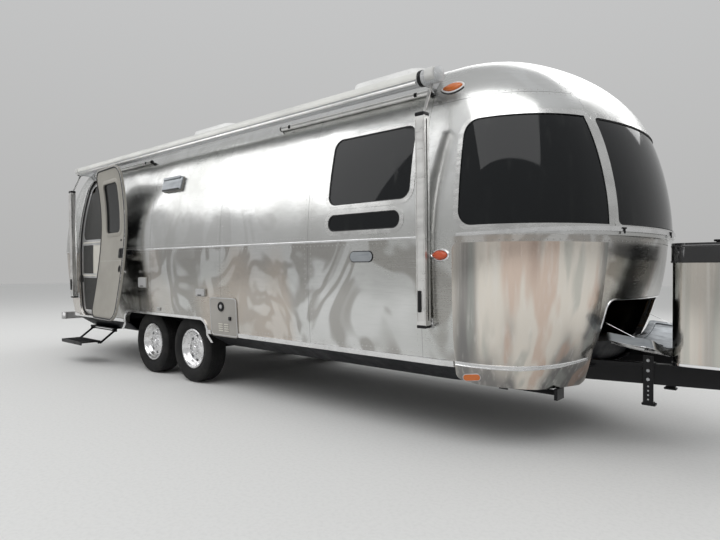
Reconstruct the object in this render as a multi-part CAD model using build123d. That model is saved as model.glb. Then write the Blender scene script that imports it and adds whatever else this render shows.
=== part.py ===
from build123d import *
import math
import os

# Travel caravan with a riveted aluminium shell, two axles and an A-frame with a coupler.
# Millimetres. It is drawn about the middle of the two axles: +X towards the hitch, +Y to the left,
# +Z up from the ground. The export moves it so that the jack's foot stands at the origin.

# Overall sizes
jack_x = 5550           # jack, ahead of the middle of the axles
ball_x = 5970           # centre of the hitch ball
front_seam = 3567       # where the front end cap meets the side walls
rear_seam = -2370       # where the rear end cap meets the side walls
belt = 1470             # height of the belt moulding, where upper and lower panels meet
belt_half = 1285        # half width there, the widest
roof_edge = 2600        # height where the side walls meet the roof panel
skin_bottom = 580       # lower edge of the shell
skirt_bottom = 430      # lowest edge of the stone guards and of the belly pan
wall = 50               # shell thickness, skin to lining
floor_under = 605
floor_top = 640
bow_ratio = 1.45        # radius of an end's bow, as a share of the half width there

# Cross-section: an arc below the belt, and three above it that run into each other
lower_radius = 9600     # below the belt
wall_radius = 3200      # from the belt to the shoulder
wall_turn = 17.6        # degrees that the wall has leaned in at the shoulder
shoulder_radius = 560
shoulder_turn = 78      # degrees at the edge of the roof's crown

# Front and rear seen from the side, above the belt: a wall arc, then the dome
end_wall_radius = 2600
end_wall_turn = 17
dome_radius = 1130
dome_turn = 80
front_end = 4860        # front of the upper shell at the belt
rear_end = -3360
lower_front_end = 4820  # front of the lower shell at the belt
# Plan sections of the lower end caps: height, front end, rear end, corner radius
lower_rows = [(skirt_bottom, 4480, -3060, 780), (950, 4730, -3260, 800), (belt, lower_front_end, rear_end, 780)]
corner_low = 740        # plan corner radius of the upper shell at the belt
corner_high = 170       # and at the crown
# Degrees of lean of the end at which the upper end caps have a section
upper_leans = (0, 3, 7, 12, 17, 29, 41, 52, 62, 71, 79)

# Windows in the side walls
# side (-1 right, 1 left), rear end, front end, bottom, top, corner radius
side_windows = [
    (-1, 2640, 3470, 1750, 2320, 90),
    (-1, 2650, 3390, 1540, 1690, 72),
    (1, 2640, 3470, 1750, 2320, 90),
    (1, 2650, 3390, 1540, 1690, 72),
    (1, 350, 1500, 1750, 2320, 90),
    (1, -2050, -1250, 1750, 2320, 90),
]
window_bottom = 1530    # front window band
window_top = 2270
mullion = 750           # centre of the front mullions, from the middle
mullion_half = 28
corner_window_rear = 3860
corner_window_radius = 110
rear_window = (430, 1640, 2180, 90)     # half width, bottom, top, corner radius
glass_inset = 6
glass_thickness = 8
glass_gap = 0.4
frame_width = 28        # window frames, out from the edge of the opening
frame_lap = 8           # and over the glass
frame_proud = 3.3
sill_proud = 14         # bar under the front windows
belt_z = (1462, 1482)
belt_proud = 5
rub_z = (582, 622)      # moulding along the lower edge
rub_proud = 12

# Doorway, in the right side wall
door_rear = -2200
door_front = -1430
door_bottom = 605
door_top = 2480
door_corner = 150
door_gap = 6
door_thickness = 30
door_open = 176         # degrees, as it stands
door_sweep = (door_rear - 20, door_front + 85)  # stretch of the side that the leaf needs free of mouldings
door_hinge_heights = (900, 1400, 1900)
hinge_x = -1395
hinge_low = (-1345, 600)        # y and height of two points on the hinge line
hinge_high = (-1262, 2400)
door_window = (-2070, -1630, 1680, 2290, 60)    # rear, front, bottom, top, corner radius
screen_gap = 8
screen_thickness = 12
screen_hinge_x = -1458
screen_inboard = 72     # hinge line of the screen door, inboard of the main door's
screen_hinge_heights = (1330, 1610)
screen_edge = 16        # gap at the edges that swing
screen_stile = 46       # frame of the screen door, round its openings
screen_openings = ((680, 1120), (1180, 1565), (1640, 2400))

# Stone guard: y and height of three points of its inner edge, and its rear edge
guard_inner = ((744, 1425), (706, 1010), (500, 470))
guard_rear = 3822
heater = (-1, 975, 1420, 572, 961, 40)  # side, rear end, front end, bottom, top, corner radius

# Front storage hatch
hatch_half = (606, 648)         # half width at its lower and its upper edge
hatch_bottom = 745
hatch_top = 1042
hatch_corner = 50
hatch_open = 78
hatch_hinge = (4600, 728)       # x and height
hatch_hinge_y = 250
apron_inset = 60                # panel under the hatch, behind the line of the skin
apron_thickness = 6

# Chassis
rail_y = 600            # middle of each main rail
rail_width = 60
rail_bottom = 465
rail_top = floor_under
rail_rear = -2680
frame_split = 3700      # where the A-frame meets the main rails
tongue_half = 62        # middle of each A-frame member at the coupler
tongue_end = 5790
socket_radius = 30      # for a ball of 58 mm
socket_depth = 56
pan_bottom = 452        # underside of the belly pan
hanger_half = 90        # half length of an axle hanger
bracket_x = (4780, 4845)        # hitch brackets
notch_half = 800        # notch in the front cap over the A-frame
notch_top = 650

# Wheels and axles
axle_spacing = 864
wheel_y = 1040
tyre_radius = 368
tyre_width = 225
rim_radius = 203
rim_width = 178
arch_half = 880
arch_top = 715
arch_foot_half = 960     # where the arch flares out below the skin
arch_corner = 110
well_half = 1000
well_inner = 870        # inner wall of the wheel box
well_top = 810

# Awning
awning_rear = -2330
awning_front = 3690
roller_radius = 55
roller_y = -1225
roller_z = 2612
arm_stations = (-2262, 3620)
arm_bottom = 850
arm_top = 2320

# Gas bottle cover, on the A-frame
gas_rear = 4945
gas_front = 5390
gas_half = 375
tray_top = 612          # tray across the A-frame that the bottles stand on
gas_top = 1345
gas_lid_skirt = 50
gas_lid_top = 1425
sheet = 3
seat = 0.3              # gap left where one piece rests against another


def box(x, y, z):
    """A box given by its two ends along each axis."""
    size = [abs(b - a) for a, b in (x, y, z)]
    middle = [(a + b) / 2 for a, b in (x, y, z)]
    return Pos(*middle) * Box(*size)


def rad(degrees):
    return math.radians(degrees)


# Centres of the cross-section's arcs, as y and height, for the right side's mirror image on +Y
wall_centre = (belt_half - wall_radius, belt)
shoulder_centre = (wall_centre[0] + (wall_radius - shoulder_radius) * math.cos(rad(wall_turn)),
                   wall_centre[1] + (wall_radius - shoulder_radius) * math.sin(rad(wall_turn)))
crown_radius = shoulder_radius + shoulder_centre[0] / math.cos(rad(shoulder_turn))
crown_centre = (0, shoulder_centre[1] - (crown_radius - shoulder_radius) * math.sin(rad(shoulder_turn)))
crown = crown_centre[1] + crown_radius
lower_centre = (belt_half - lower_radius, belt)


def half_width(z):
    """Half width of the straight part of the body at a height."""
    if z <= belt:
        centre, radius = lower_centre, lower_radius
    elif z <= wall_centre[1] + wall_radius * math.sin(rad(wall_turn)):
        centre, radius = wall_centre, wall_radius
    elif z <= shoulder_centre[1] + shoulder_radius * math.sin(rad(shoulder_turn)):
        centre, radius = shoulder_centre, shoulder_radius
    else:
        centre, radius = crown_centre, crown_radius
    return centre[0] + math.sqrt(max(radius ** 2 - (z - centre[1]) ** 2, 0))


def arc_points(centre, radius, start, end):
    """Three points of an arc, by angle above the horizontal."""
    return [(centre[0] + radius * math.cos(rad(a)), centre[1] + radius * math.sin(rad(a)))
            for a in (start, (start + end) / 2, end)]


def cross_section(inset=0):
    """Face across the straight part, smaller all round by an inset, from the skirt to the crown."""
    drop = -math.degrees(math.asin((belt - skirt_bottom) / (lower_radius - inset)))
    arcs = [
        arc_points(lower_centre, lower_radius - inset, drop, 0),
        arc_points(wall_centre, wall_radius - inset, 0, wall_turn),
        arc_points(shoulder_centre, shoulder_radius - inset, wall_turn, shoulder_turn),
        arc_points(crown_centre, crown_radius - inset, shoulder_turn, 90),
    ]
    half = [ThreePointArc(*arc) for arc in arcs]
    other = [ThreePointArc(*[(-y, z) for y, z in arc]) for arc in arcs]
    sill = Line(arcs[0][0], (-arcs[0][0][0], arcs[0][0][1]))
    return make_face(half + other + [sill])


def barrel(inset=0, ends=(rear_seam, front_seam)):
    """The straight part of the body as a solid."""
    face = Plane((ends[0], 0, 0), x_dir=(0, 1, 0), z_dir=(1, 0, 0)) * cross_section(inset)
    return extrude(face, ends[1] - ends[0])


def tube_wall(outer, inner):
    """A layer of the straight part between two insets."""
    return barrel(outer) - barrel(inner)


def plan(height, width, front, rear, corner):
    """One plan section: straight sides, round corners and bowed ends, all tangent."""
    bow = bow_ratio * width
    corner_y = width - corner
    reach = math.sqrt((bow - corner) ** 2 - corner_y ** 2)
    swing = math.degrees(math.atan2(corner_y, reach))
    front_x = front - bow
    rear_x = rear + bow
    ahead = front_x + reach
    behind = rear_x - reach
    edges = [
        Line((behind, -width), (ahead, -width)),
        CenterArc((ahead, -corner_y), corner, -90, 90 - swing),
        CenterArc((front_x, 0), bow, -swing, 2 * swing),
        CenterArc((ahead, corner_y), corner, swing, 90 - swing),
        Line((ahead, width), (behind, width)),
        CenterArc((behind, corner_y), corner, 90, 90 - swing),
        CenterArc((rear_x, 0), bow, 180 - swing, 2 * swing),
        CenterArc((behind, -corner_y), corner, 180 + swing, 90 - swing),
    ]
    return Pos(0, 0, height) * make_face(edges)


def lower_row(z, inset=0):
    """One plan section of the lower end caps at any height, on a parabola through the table's rows."""
    low, middle, high = lower_rows
    share = (z - low[0]) / (middle[0] - low[0])
    bend = share * (share - 1) / 2
    front, rear, corner = [a + share * (b - a) + bend * (c - 2 * b + a)
                           for a, b, c in zip(low[1:], middle[1:], high[1:])]
    return z, half_width(z) - inset, front - inset, rear + inset, corner - inset


def lower_caps(inset=0):
    """The lower body as a solid that holds both lower end caps."""
    return loft([plan(z, half_width(z) - inset, f - inset, r + inset, c - inset) for z, f, r, c in lower_rows])


def end_point(lean):
    """How far the end has drawn in, and its height, where it leans by so many degrees."""
    wall_lean = min(lean, end_wall_turn)
    back = end_wall_radius * (1 - math.cos(rad(wall_lean)))
    rise = end_wall_radius * math.sin(rad(wall_lean))
    if lean > end_wall_turn:
        back += dome_radius * (math.cos(rad(end_wall_turn)) - math.cos(rad(lean)))
        rise += dome_radius * (math.sin(rad(lean)) - math.sin(rad(end_wall_turn)))
    return back, belt + rise


def upper_row(lean, inset=0):
    """One plan section of the upper end caps: height, half width, front, rear, corner radius."""
    back, z = end_point(lean)
    z = belt + (z - belt) * (crown - belt) / (end_point(dome_turn)[1] - belt)
    share = (half_width(z) / belt_half) ** 1.3
    corner = corner_high + (corner_low - corner_high) * share
    inwards = inset * math.cos(rad(lean))
    width = half_width(z) - inwards
    return (z - inset * math.sin(rad(lean)), width, front_end - back - inwards,
            rear_end + back + inwards, min(corner - inwards, 0.65 * width))


def upper_caps(inset=0):
    """The upper body as a solid that holds both upper end caps."""
    return loft([plan(*upper_row(lean, inset)) for lean in upper_leans])


def side_prism(side, x, z, corner, y=(850, 1450)):
    """A rounded rectangle in side view, pushed through one side wall."""
    middle = Plane((sum(x) / 2, side * y[0], sum(z) / 2), x_dir=(1, 0, 0), z_dir=(0, side, 0))
    return extrude(middle * RectangleRounded(x[1] - x[0], z[1] - z[0], corner), y[1] - y[0])


def end_prism(y, z, corner, x=(4200, 5200)):
    """A rounded rectangle in end view, pushed along the body."""
    middle = Plane((x[0], sum(y) / 2, sum(z) / 2), x_dir=(0, 1, 0), z_dir=(1, 0, 0))
    return extrude(middle * RectangleRounded(y[1] - y[0], z[1] - z[0], corner), x[1] - x[0])


def side_shape(points, y):
    """Any outline in side view, given by x and height, pushed across the body."""
    face = make_face(Polyline(*points, close=True))
    return extrude(Plane((0, y[0], 0), x_dir=(1, 0, 0), z_dir=(0, -1, 0)) * face, y[0] - y[1])


def beam(start, end, width, z):
    """A straight member between two plan points."""
    run = Vector(end[0] - start[0], end[1] - start[1], 0)
    turn = math.degrees(math.atan2(run.Y, run.X))
    middle = ((start[0] + end[0]) / 2, (start[1] + end[1]) / 2, sum(z) / 2)
    return Pos(*middle) * Rot(0, 0, turn) * Box(run.length, width, z[1] - z[0])


def rod(start, end, radius):
    """A round bar between two points."""
    run = Vector(*end) - Vector(*start)
    return extrude(Plane(start, z_dir=run) * Circle(radius), run.length)


def rail_at(x):
    """How far from the centre line the middle of a main rail or A-frame member is."""
    ahead = max(x - frame_split, 0)
    return rail_y - ahead * (rail_y - tongue_half) / (tongue_end - frame_split)


def join(shapes):
    whole = shapes[0]
    for shape in shapes[1:]:
        whole += shape
    return whole


def gather(shapes):
    """One node of separate solids."""
    return Compound([solid for shape in shapes for solid in shape.solids()])


def both_sides(shape):
    return [shape, mirror(shape, about=Plane.XZ)]


lower_outer = lower_caps()
upper_outer = upper_caps()
body_layer = tube_wall(0, wall)
lower_shell = lower_outer - lower_caps(wall)
lower_clear = lower_caps(-seat)
upper_clear = upper_caps(-seat)
upper_shell = upper_outer - upper_caps(wall)


def window_cutters(grow=0):
    """Every window opening, larger all round by grow. The front corner is the right one."""
    z = (window_bottom - grow, window_top + grow)
    edge = mullion - mullion_half + grow
    centre = end_prism((-edge, edge), z, 45 + grow)
    corner = side_prism(-1, (corner_window_rear - grow, 5600), z, corner_window_radius + grow,
                        y=(mullion + mullion_half - grow, 1600))
    sides = []
    for side, rear, front, bottom, top, radius in side_windows:
        sides.append((side, side_prism(side, (rear - grow, front + grow),
                                       (bottom - grow, top + grow), radius + grow)))
    half, bottom, top, radius = rear_window
    rear = end_prism((-half - grow, half + grow), (bottom - grow, top + grow), radius + grow, x=(-3700, -3000))
    return centre, corner, sides, rear


def arch_prism(grow=0, y=(1000, 1450)):
    """The right wheel arch, larger all round by grow, from y[0] to y[1] out from the middle."""
    points = [(-arch_foot_half, 300), (-arch_foot_half, 480), (-arch_half, 560), (-arch_half, arch_top),
              (arch_half, arch_top), (arch_half, 560), (arch_foot_half, 480), (arch_foot_half, 300)]
    face = make_face(Polyline(*points, close=True))
    face = fillet(face.vertices().group_by(Axis.Y)[-1], arch_corner)
    if grow:
        face = offset(face, grow)
    place = Plane((0, -y[0], 0), x_dir=(1, 0, 0), z_dir=(0, -1, 0))
    return extrude(place * face, y[1] - y[0])


doorway = side_prism(-1, (door_rear, door_front), (door_bottom, door_top), door_corner)


def hatch_prism(gap=0):
    """The storage hatch in end view, smaller all round by gap."""
    low, high = hatch_half
    face = make_face(Polyline((-low, hatch_bottom), (low, hatch_bottom), (high, hatch_top), (-high, hatch_top),
                              close=True))
    face = fillet(face.vertices(), hatch_corner)
    if gap:
        face = offset(face, -gap)
    return extrude(Plane((4100, 0, 0), x_dir=(0, 1, 0), z_dir=(1, 0, 0)) * face, 1100)


hatchway = hatch_prism() + box((4100, 5200), (-hatch_half[0], hatch_half[0]), (300, hatch_bottom + hatch_corner))
notch = box((4000, 5200), (-notch_half, notch_half), (300, notch_top))


def shell_panels():
    """The shell, split where the real panels meet, with its openings cut."""
    centre, corner, sides, rear = window_cutters()
    parts = {}
    for side, name in ((-1, "right"), (1, "left")):
        panel = body_layer & box((rear_seam, front_seam), (0, side * 1500), (skin_bottom, roof_edge))
        for where, cutter in sides:
            if where == side:
                panel -= cutter
        arch = arch_prism()
        panel -= arch if side < 0 else mirror(arch, about=Plane.XZ)
        parts["side_wall_" + name] = panel - doorway if side < 0 else panel
    parts["roof_panel"] = body_layer & box((rear_seam, front_seam), (-1500, 1500), (roof_edge, 3000))
    right = upper_shell & box((front_seam, 5500), (-1500, 0), (belt, 3000))
    right -= corner
    right -= centre
    parts["front_cap_upper"] = join(both_sides(right))
    parts["front_cap_lower"] = (
        lower_shell & box((front_seam, 5500), (-1500, 1500), (skin_bottom, belt))) - hatchway - notch
    parts["rear_cap_upper"] = (upper_shell & box((-4000, rear_seam), (-1500, 1500), (belt, 3000))) - rear
    parts["rear_cap_lower"] = lower_shell & box((-4000, rear_seam), (-1500, 1500), (skin_bottom, belt))
    return parts


def glazing():
    """Window glass, set just inside the skin."""
    back = glass_inset + glass_thickness
    pane = upper_caps(glass_inset) - upper_caps(back)
    flat = tube_wall(glass_inset, back)
    centre, corner, sides, rear = window_cutters(-glass_gap)
    return {
        "front_windows": gather([pane & centre] + both_sides(pane & corner)),
        "cabin_windows": gather([flat & cutter for where, cutter in sides] + [pane & rear]),
    }


def on_wall(side, x, z, corner, proud):
    """A flat fitting on a side wall, rounded in side view, that follows the wall."""
    y = (half_width(sum(z) / 2) - 120, half_width(sum(z) / 2) + 120)
    return (barrel(-proud) & side_prism(side, x, z, corner, y)) - barrel(-seat)


def trims():
    """Window frames, the sill under the front windows, and the mouldings along the body."""
    centre, corner, sides, rear = window_cutters(frame_width)
    centre_hole, corner_hole, side_holes, rear_hole = window_cutters(-frame_lap)
    layer = barrel(-frame_proud) - barrel(-seat)
    frames = [(layer & cutter) - hole for (where, cutter), (same, hole) in zip(sides, side_holes)]
    cap_layer = upper_caps(-frame_proud) - upper_clear
    front = (cap_layer & (corner + mirror(corner, about=Plane.XZ) + centre)) - centre_hole
    front -= corner_hole
    front -= mirror(corner_hole, about=Plane.XZ)
    frames.append((cap_layer & rear) - rear_hole)

    # lower and upper edge of the sill bar in side view
    sill_low = [(corner_window_rear, belt + 1), (4160, 1474), (4480, 1488), (4690, 1496), (5000, 1496)]
    sill_high = [(5000, 1526), (4690, 1526), (4480, 1515), (4160, 1497), (corner_window_rear, 1490)]
    sill_line = side_shape(sill_low + sill_high, (1500, -1500))
    sill = (upper_caps(-sill_proud) - upper_clear) & sill_line
    front -= side_shape(sill_low + [(x, z + seat) for x, z in sill_high], (1500, -1500))
    belt_side = (barrel(-belt_proud) - barrel(-seat)) & box((rear_seam, front_seam), (-1500, 1500), belt_z)
    belt_side -= side_prism(-1, door_sweep, (1300, 1600), 5)
    belt_rear = (upper_caps(-belt_proud) - upper_clear) & box((-4000, rear_seam - seat), (-1500, 1500),
                                                             (belt, belt_z[1]))
    low_side = (barrel(-rub_proud) - barrel(-seat)) & box((rear_seam, front_seam), (-1500, 1500), rub_z)
    for cutter in both_sides(arch_prism(36)):
        low_side -= cutter
    low_side -= side_prism(-1, (heater[1] - 8, heater[2] + 8), (500, 900), 5)
    low_side -= side_prism(-1, door_sweep, (door_bottom - 6, 700), 5)
    low_front = (lower_caps(-rub_proud) - lower_clear) & box((front_seam + seat, 3816), (-1500, 1500), rub_z)
    return {
        "window_frames": gather(frames),
        "front_window_frame": front,
        "body_mouldings": gather([sill, belt_side, belt_rear, low_side, low_front]),
    }


def skin_fittings():
    """Guards, lamps, service doors and arch trims, which all follow the skin."""
    top, middle, low = guard_inner
    foot = (low[0] + 42, skirt_bottom)
    face = make_face([
        ThreePointArc(top, middle, low), ThreePointArc(low, (low[0] + 9, skirt_bottom + 11), foot),
        Line(foot, (1400, skirt_bottom)), Line((1400, skirt_bottom), (1400, top[1])), Line((1400, top[1]), top)])
    guard_face = extrude(Plane((3700, 0, 0), x_dir=(0, -1, 0), z_dir=(-1, 0, 0)) * face, -1500)
    side = make_face(Polyline((guard_rear, 505), (3950, 470), (4250, skirt_bottom), (5300, skirt_bottom),
                              (5300, top[1]), (guard_rear, top[1]), close=True))
    side = fillet(side.vertices().group_by(Axis.X)[0], 50)
    guard_side = extrude(Plane((0, -300, 0), x_dir=(1, 0, 0), z_dir=(0, -1, 0)) * side, 1200)
    guard = (lower_caps(-sheet - seat) & guard_face & guard_side) - lower_clear
    trim = (barrel(-8) & arch_prism(30)) - barrel(-seat) - arch_prism()
    trim &= box((-1300, 1300), (-1500, 0), (492, 900))
    # side, rear end, front end, bottom, top, corner radius
    service = [
        heater,
        (-1, -480, -289, 1021, 1147, 25),
        (-1, 735, 905, 960, 1046, 20),
        (-1, -20, 360, 2110, 2270, 20),
        (1, 1800, 2300, 700, 1050, 40),
        (1, -1900, -1500, 860, 1100, 30),
    ]
    doors = [on_wall(side, (a, b), (c, d), r, 8) for side, a, b, c, d, r in service]
    lens = lower_caps(-22)
    markers = [side_prism(-1, (3668, 3790), (1312, 1375), 28, y=(1150, belt_half + 21))]
    for height in (900, 1060):
        markers.append(lens & Pos(-3400, -780, height) * Rot(0, 90, 0) * Cylinder(60, 1000))
    markers = [marker - lower_clear for marker in markers]
    roof_lens = upper_caps(-24) & side_prism(-1, (3625, 3790), (2514, 2576), 28, y=(700, 1300))
    markers.append(roof_lens - upper_clear)
    return {
        "stone_guards": gather(both_sides(guard)),
        "wheel_arch_trims": gather(both_sides(trim)),
        "service_doors": gather(doors),
        "lamps": gather([half for marker in markers for half in both_sides(marker)]),
    }


def hinge_axis():
    """The main door's hinge line, which leans in."""
    low = Vector(hinge_x, hinge_low[0], hinge_low[1])
    high = Vector(hinge_x, hinge_high[0], hinge_high[1])
    return Axis(low, high - low)


def screen_axis():
    """The screen door's hinge line, parallel to the main door's."""
    line = hinge_axis()
    return Axis(Vector(screen_hinge_x, line.position.Y + screen_inboard, line.position.Z), line.direction)


def on_axis(line, z):
    """The point of a hinge line at a height."""
    return line.position + line.direction * ((z - line.position.Z) / line.direction.Z)


def around(line, radius, bottom, top):
    """A round bar along a hinge line between two heights."""
    return rod(tuple(on_axis(line, bottom)), tuple(on_axis(line, top)), radius)


def strap(line, z, x, y, thickness=4):
    """A flat plate that runs from a hinge line to a plan point, over a stretch of height."""
    start = on_axis(line, sum(z) / 2)
    return beam((start.X, start.Y), (x, y), thickness, z)


def entry_doors():
    """The main door, turned open on its leaning hinge line, the screen door, closed, and the hinges."""
    gap = door_gap
    swing = hinge_axis()
    leaf = tube_wall(0, door_thickness) & side_prism(
        -1, (door_rear + gap, door_front - gap), (door_bottom + gap, door_top - gap - 4), door_corner - gap)
    leaf &= around(swing, hinge_x - door_rear - gap, 400, 2700)
    rear, front, bottom, top, radius = door_window
    leaf -= side_prism(-1, (rear, front), (bottom, top), radius)
    glass = tube_wall(10, 18) & side_prism(
        -1, (rear + glass_gap, front - glass_gap), (bottom + glass_gap, top - glass_gap), radius)
    hinges = []
    for z in door_hinge_heights:
        skin = -half_width(z)
        leaf += around(swing, 9, z - 14, z + 14)
        leaf += strap(swing, (z - 13, z + 13), door_front - gap - 40, skin + 12)
        leaf -= around(swing, 4.1, z - 60, z + 60)
        fixed = around(swing, 9, z - 46, z - 16) + around(swing, 9, z + 16, z + 46)
        for low, high in ((z - 44, z - 18), (z + 18, z + 44)):
            fixed += strap(swing, (low, high), door_front + 60, skin + 20)
        fixed += box((door_front + 30, door_front + 75), (skin - 4, skin + 30), (z - 44, z + 44))
        hinges.append(fixed - barrel(-seat) + around(swing, 4, z - 46, z + 46))
    grip = half_width(1200) + 42
    handle = box((door_rear + 40, door_rear + 180), (-grip, -grip + 14), (1190, 1215))
    for x in (door_rear + 50, door_rear + 150):
        handle += box((x, x + 20), (-grip + 7, -half_width(1200) + 0.5), (1190, 1215))
    handle -= barrel(-seat)

    line = screen_axis()
    back = door_thickness + screen_gap
    jamb = door_front - seat
    screen = tube_wall(back, back + screen_thickness) & side_prism(
        -1, (door_rear + screen_edge, screen_hinge_x - 9), (door_bottom + 8, door_top - 20), door_corner - 16)
    screen &= around(line, screen_hinge_x - door_rear - screen_edge, 400, 2700)
    for bottom, top in screen_openings:
        corner = 90 if top == screen_openings[-1][1] else 12
        hole = (door_rear + screen_edge + screen_stile, screen_hinge_x - 9 - screen_stile)
        screen -= side_prism(-1, hole, (bottom, top), corner)
    for z in screen_hinge_heights:
        middle = on_axis(line, z).Y
        screen += around(line, 6, z - 10, z + 10)
        screen += strap(line, (z - 9, z + 9), screen_hinge_x - 30, -half_width(z) + back + 6)
        screen -= around(line, 3.1, z - 50, z + 50)
        fixed = around(line, 6, z - 34, z - 15) + around(line, 6, z + 15, z + 34)
        for low, high in ((z - 33, z - 16), (z + 16, z + 33)):
            fixed += strap(line, (low, high), jamb - 1, middle)
        fixed += box((jamb - 3, jamb), (middle - 8, middle + 20), (z - 33, z + 33))
        hinges.append(fixed + around(line, 3, z - 34, z + 34))
    return {
        "main_door": leaf.rotate(swing, door_open),
        "door_glass": glass.rotate(swing, door_open),
        "door_handle": handle.rotate(swing, door_open),
        "screen_door": screen,
        "door_hinges": gather(hinges),
    }


def front_hatch():
    """The storage hatch's lid, turned down on the two hinges under it."""
    lid = lower_shell & hatch_prism(door_gap)
    x, z = hatch_hinge
    behind = lower_caps(apron_inset - seat)
    fixed = []
    for y in (-hatch_hinge_y, hatch_hinge_y):
        lid += rod((x, y - 18, z), (x, y + 18, z), 8)
        lid += box((x - 3, x + 3), (y - 17, y + 17), (z + 4, hatch_bottom + door_gap + 8))
        lid -= rod((x, y - 60, z), (x, y + 60, z), 3.6)
        bracket = rod((x, y - 48, z), (x, y - 21, z), 8) + rod((x, y + 21, z), (x, y + 48, z), 8)
        for low, high in ((y - 47, y - 22), (y + 22, y + 47)):
            bracket += box((x - 120, x), (low, high), (z - 8, z - 4))
        bracket += box((x - 120, x - 14), (y - 47, y + 47), (z - 12, z - 8))
        bracket -= behind
        fixed.append(bracket + rod((x, y - 48, z), (x, y + 48, z), 3.5))
    swing = Axis((x, 0, z), (0, 1, 0))
    return {"front_hatch": lid.rotate(swing, hatch_open), "hatch_hinges": gather(fixed)}


def wheels():
    """Tyre and rim for each of the four wheels; the drum is one with the rim."""
    shoulder = tyre_radius - 16
    half = tyre_width / 2
    bead = rim_width / 2 - 9
    seat_radius = rim_radius + seat
    bulge = (rim_radius + shoulder) / 2
    section = make_face([
        Line((-bead, seat_radius), (bead, seat_radius)),
        Line((bead, seat_radius), (bead, seat_radius + 18)),
        ThreePointArc((bead, seat_radius + 18), (half, bulge), (half - 14, shoulder)),
        ThreePointArc((half - 14, shoulder), (half - 22, shoulder + 9), (half - 38, tyre_radius - 3)),
        ThreePointArc((half - 38, tyre_radius - 3), (0, tyre_radius), (-half + 38, tyre_radius - 3)),
        ThreePointArc((-half + 38, tyre_radius - 3), (-half + 22, shoulder + 9), (-half + 14, shoulder)),
        ThreePointArc((-half + 14, shoulder), (-half, bulge), (-bead, seat_radius + 18)),
        Line((-bead, seat_radius + 18), (-bead, seat_radius)),
    ])
    tyre = revolve(section, Axis.X)
    # rim in section: distance out from the wheel's middle, then radius
    barrel_line = Polyline(
        (-89, 216), (-81, 216), (-81, 203), (-60, 190), (-20, 182), (50, 182), (66, 196), (70, 203), (81, 203),
        (81, 216), (89, 216), (89, 198), (72, 188), (60, 172), (30, 150), (34, 110), (44, 78), (44, 0), (26, 0),
        (26, 78), (18, 112), (16, 150), (40, 174), (-20, 174), (-60, 182), (-89, 196), close=True)
    rim = revolve(make_face(barrel_line), Axis.X)
    for place in PolarLocations(128, 8):
        rim -= Rot(0, 90, 0) * place * extrude(SlotOverall(52, 34, rotation=90), 60, both=True)
    drum = Pos(-12, 0, 0) * Rot(0, 90, 0) * (Cylinder(127, 76) - Pos(0, 0, -18) * Cylinder(118, 60))
    drum -= Rot(0, 90, 0) * Cylinder(21, 400)
    rim += drum
    parts = {}
    for side, hand in ((-1, "right"), (1, "left")):
        for step, end in ((1, "front"), (-1, "rear")):
            place = Pos(step * axle_spacing / 2, side * wheel_y, tyre_radius) * Rot(0, 0, side * 90)
            parts[f"tyre_{end}_{hand}"] = place * tyre
            parts[f"rim_{end}_{hand}"] = place * rim
    return parts


axle_ahead = 120        # axle tube ahead of the wheel centre, on trailing arms
axle_half = 40
axle_z = (372, pan_bottom - seat)


def axles():
    """Square tubes with trailing arms, backing plates, spindles and the hangers that carry them."""
    both = []
    arm_z = sum(axle_z) / 2
    for step in (-1, 1):
        x = step * axle_spacing / 2
        middle = x + axle_ahead
        axle = box((middle - axle_half, middle + axle_half), (-820, 820), axle_z)
        for side in (-1, 1):
            axle += box((middle - hanger_half, middle + hanger_half), (side * rail_y - 30, side * rail_y + 30),
                        (axle_z[1] - 20, rail_bottom - seat))
            axle += Pos(middle, side * 840, arm_z) * Rot(90, 0, 0) * Cylinder(34, 44)
            axle += Pos(x, side * 840, tyre_radius) * Rot(90, 0, 0) * Cylinder(30, 44)
            tilt = math.degrees(math.atan2(tyre_radius - arm_z, axle_ahead))
            axle += Pos(x + axle_ahead / 2, side * 840, (arm_z + tyre_radius) / 2) * Rot(0, tilt, 0) * Box(128, 40, 46)
            axle += Pos(x, side * 930, tyre_radius) * Rot(90, 0, 0) * Cylinder(19.5, 150)
            axle += Pos(x, side * 870, tyre_radius) * Rot(90, 0, 0) * Cylinder(126, 16)
        both.append(axle)
    return {"axles": gather(both)}


# x of the pivot, which way the folded leg points, name
leg_stations = ((3930, 1, "front"), (-2460, -1, "rear"))
leg_y = 700
leg_pivot_z = 390


def chassis():
    """Main rails, cross members, A-frame and the brackets under them."""
    z = (rail_bottom, rail_top)
    frame = []
    for side in (-1, 1):
        frame.append(beam((rail_rear, side * rail_y), (frame_split, side * rail_y), rail_width, z))
        frame.append(beam((frame_split - 30, side * rail_y), (tongue_end, side * tongue_half), rail_width, z))
    for x in (rail_rear + 30, -1700, -900, 900, 1900, 2900, frame_split - 300):
        frame.append(box((x - 25, x + 25), (-rail_y, rail_y), z))
    frame.append(box((jack_x - 110, jack_x + 90), (-165, 165), (rail_top - 12, rail_top)))
    frame.append(box((gas_rear, gas_front), (-gas_half, gas_half), (rail_top - 1, tray_top)))
    whole = join(frame)
    whole -= Pos(jack_x, 0, 550) * Cylinder(31, 300)
    for x, ahead, end in leg_stations:
        for side in (-1, 1):
            for cheek in (-30, 30):
                y = side * leg_y + cheek
                whole += box((x - 35, x + 35), (y - 4, y + 4), (leg_pivot_z - 25, rail_bottom + 40))
            whole += box((x - 35, x + 35), (side * rail_at(x), side * (leg_y + 34)),
                         (rail_bottom + 20, rail_bottom + 40))
            whole -= Pos(x, side * leg_y, leg_pivot_z) * Rot(90, 0, 0) * Cylinder(7.3, 90)
    return {"chassis_frame": whole}


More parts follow.
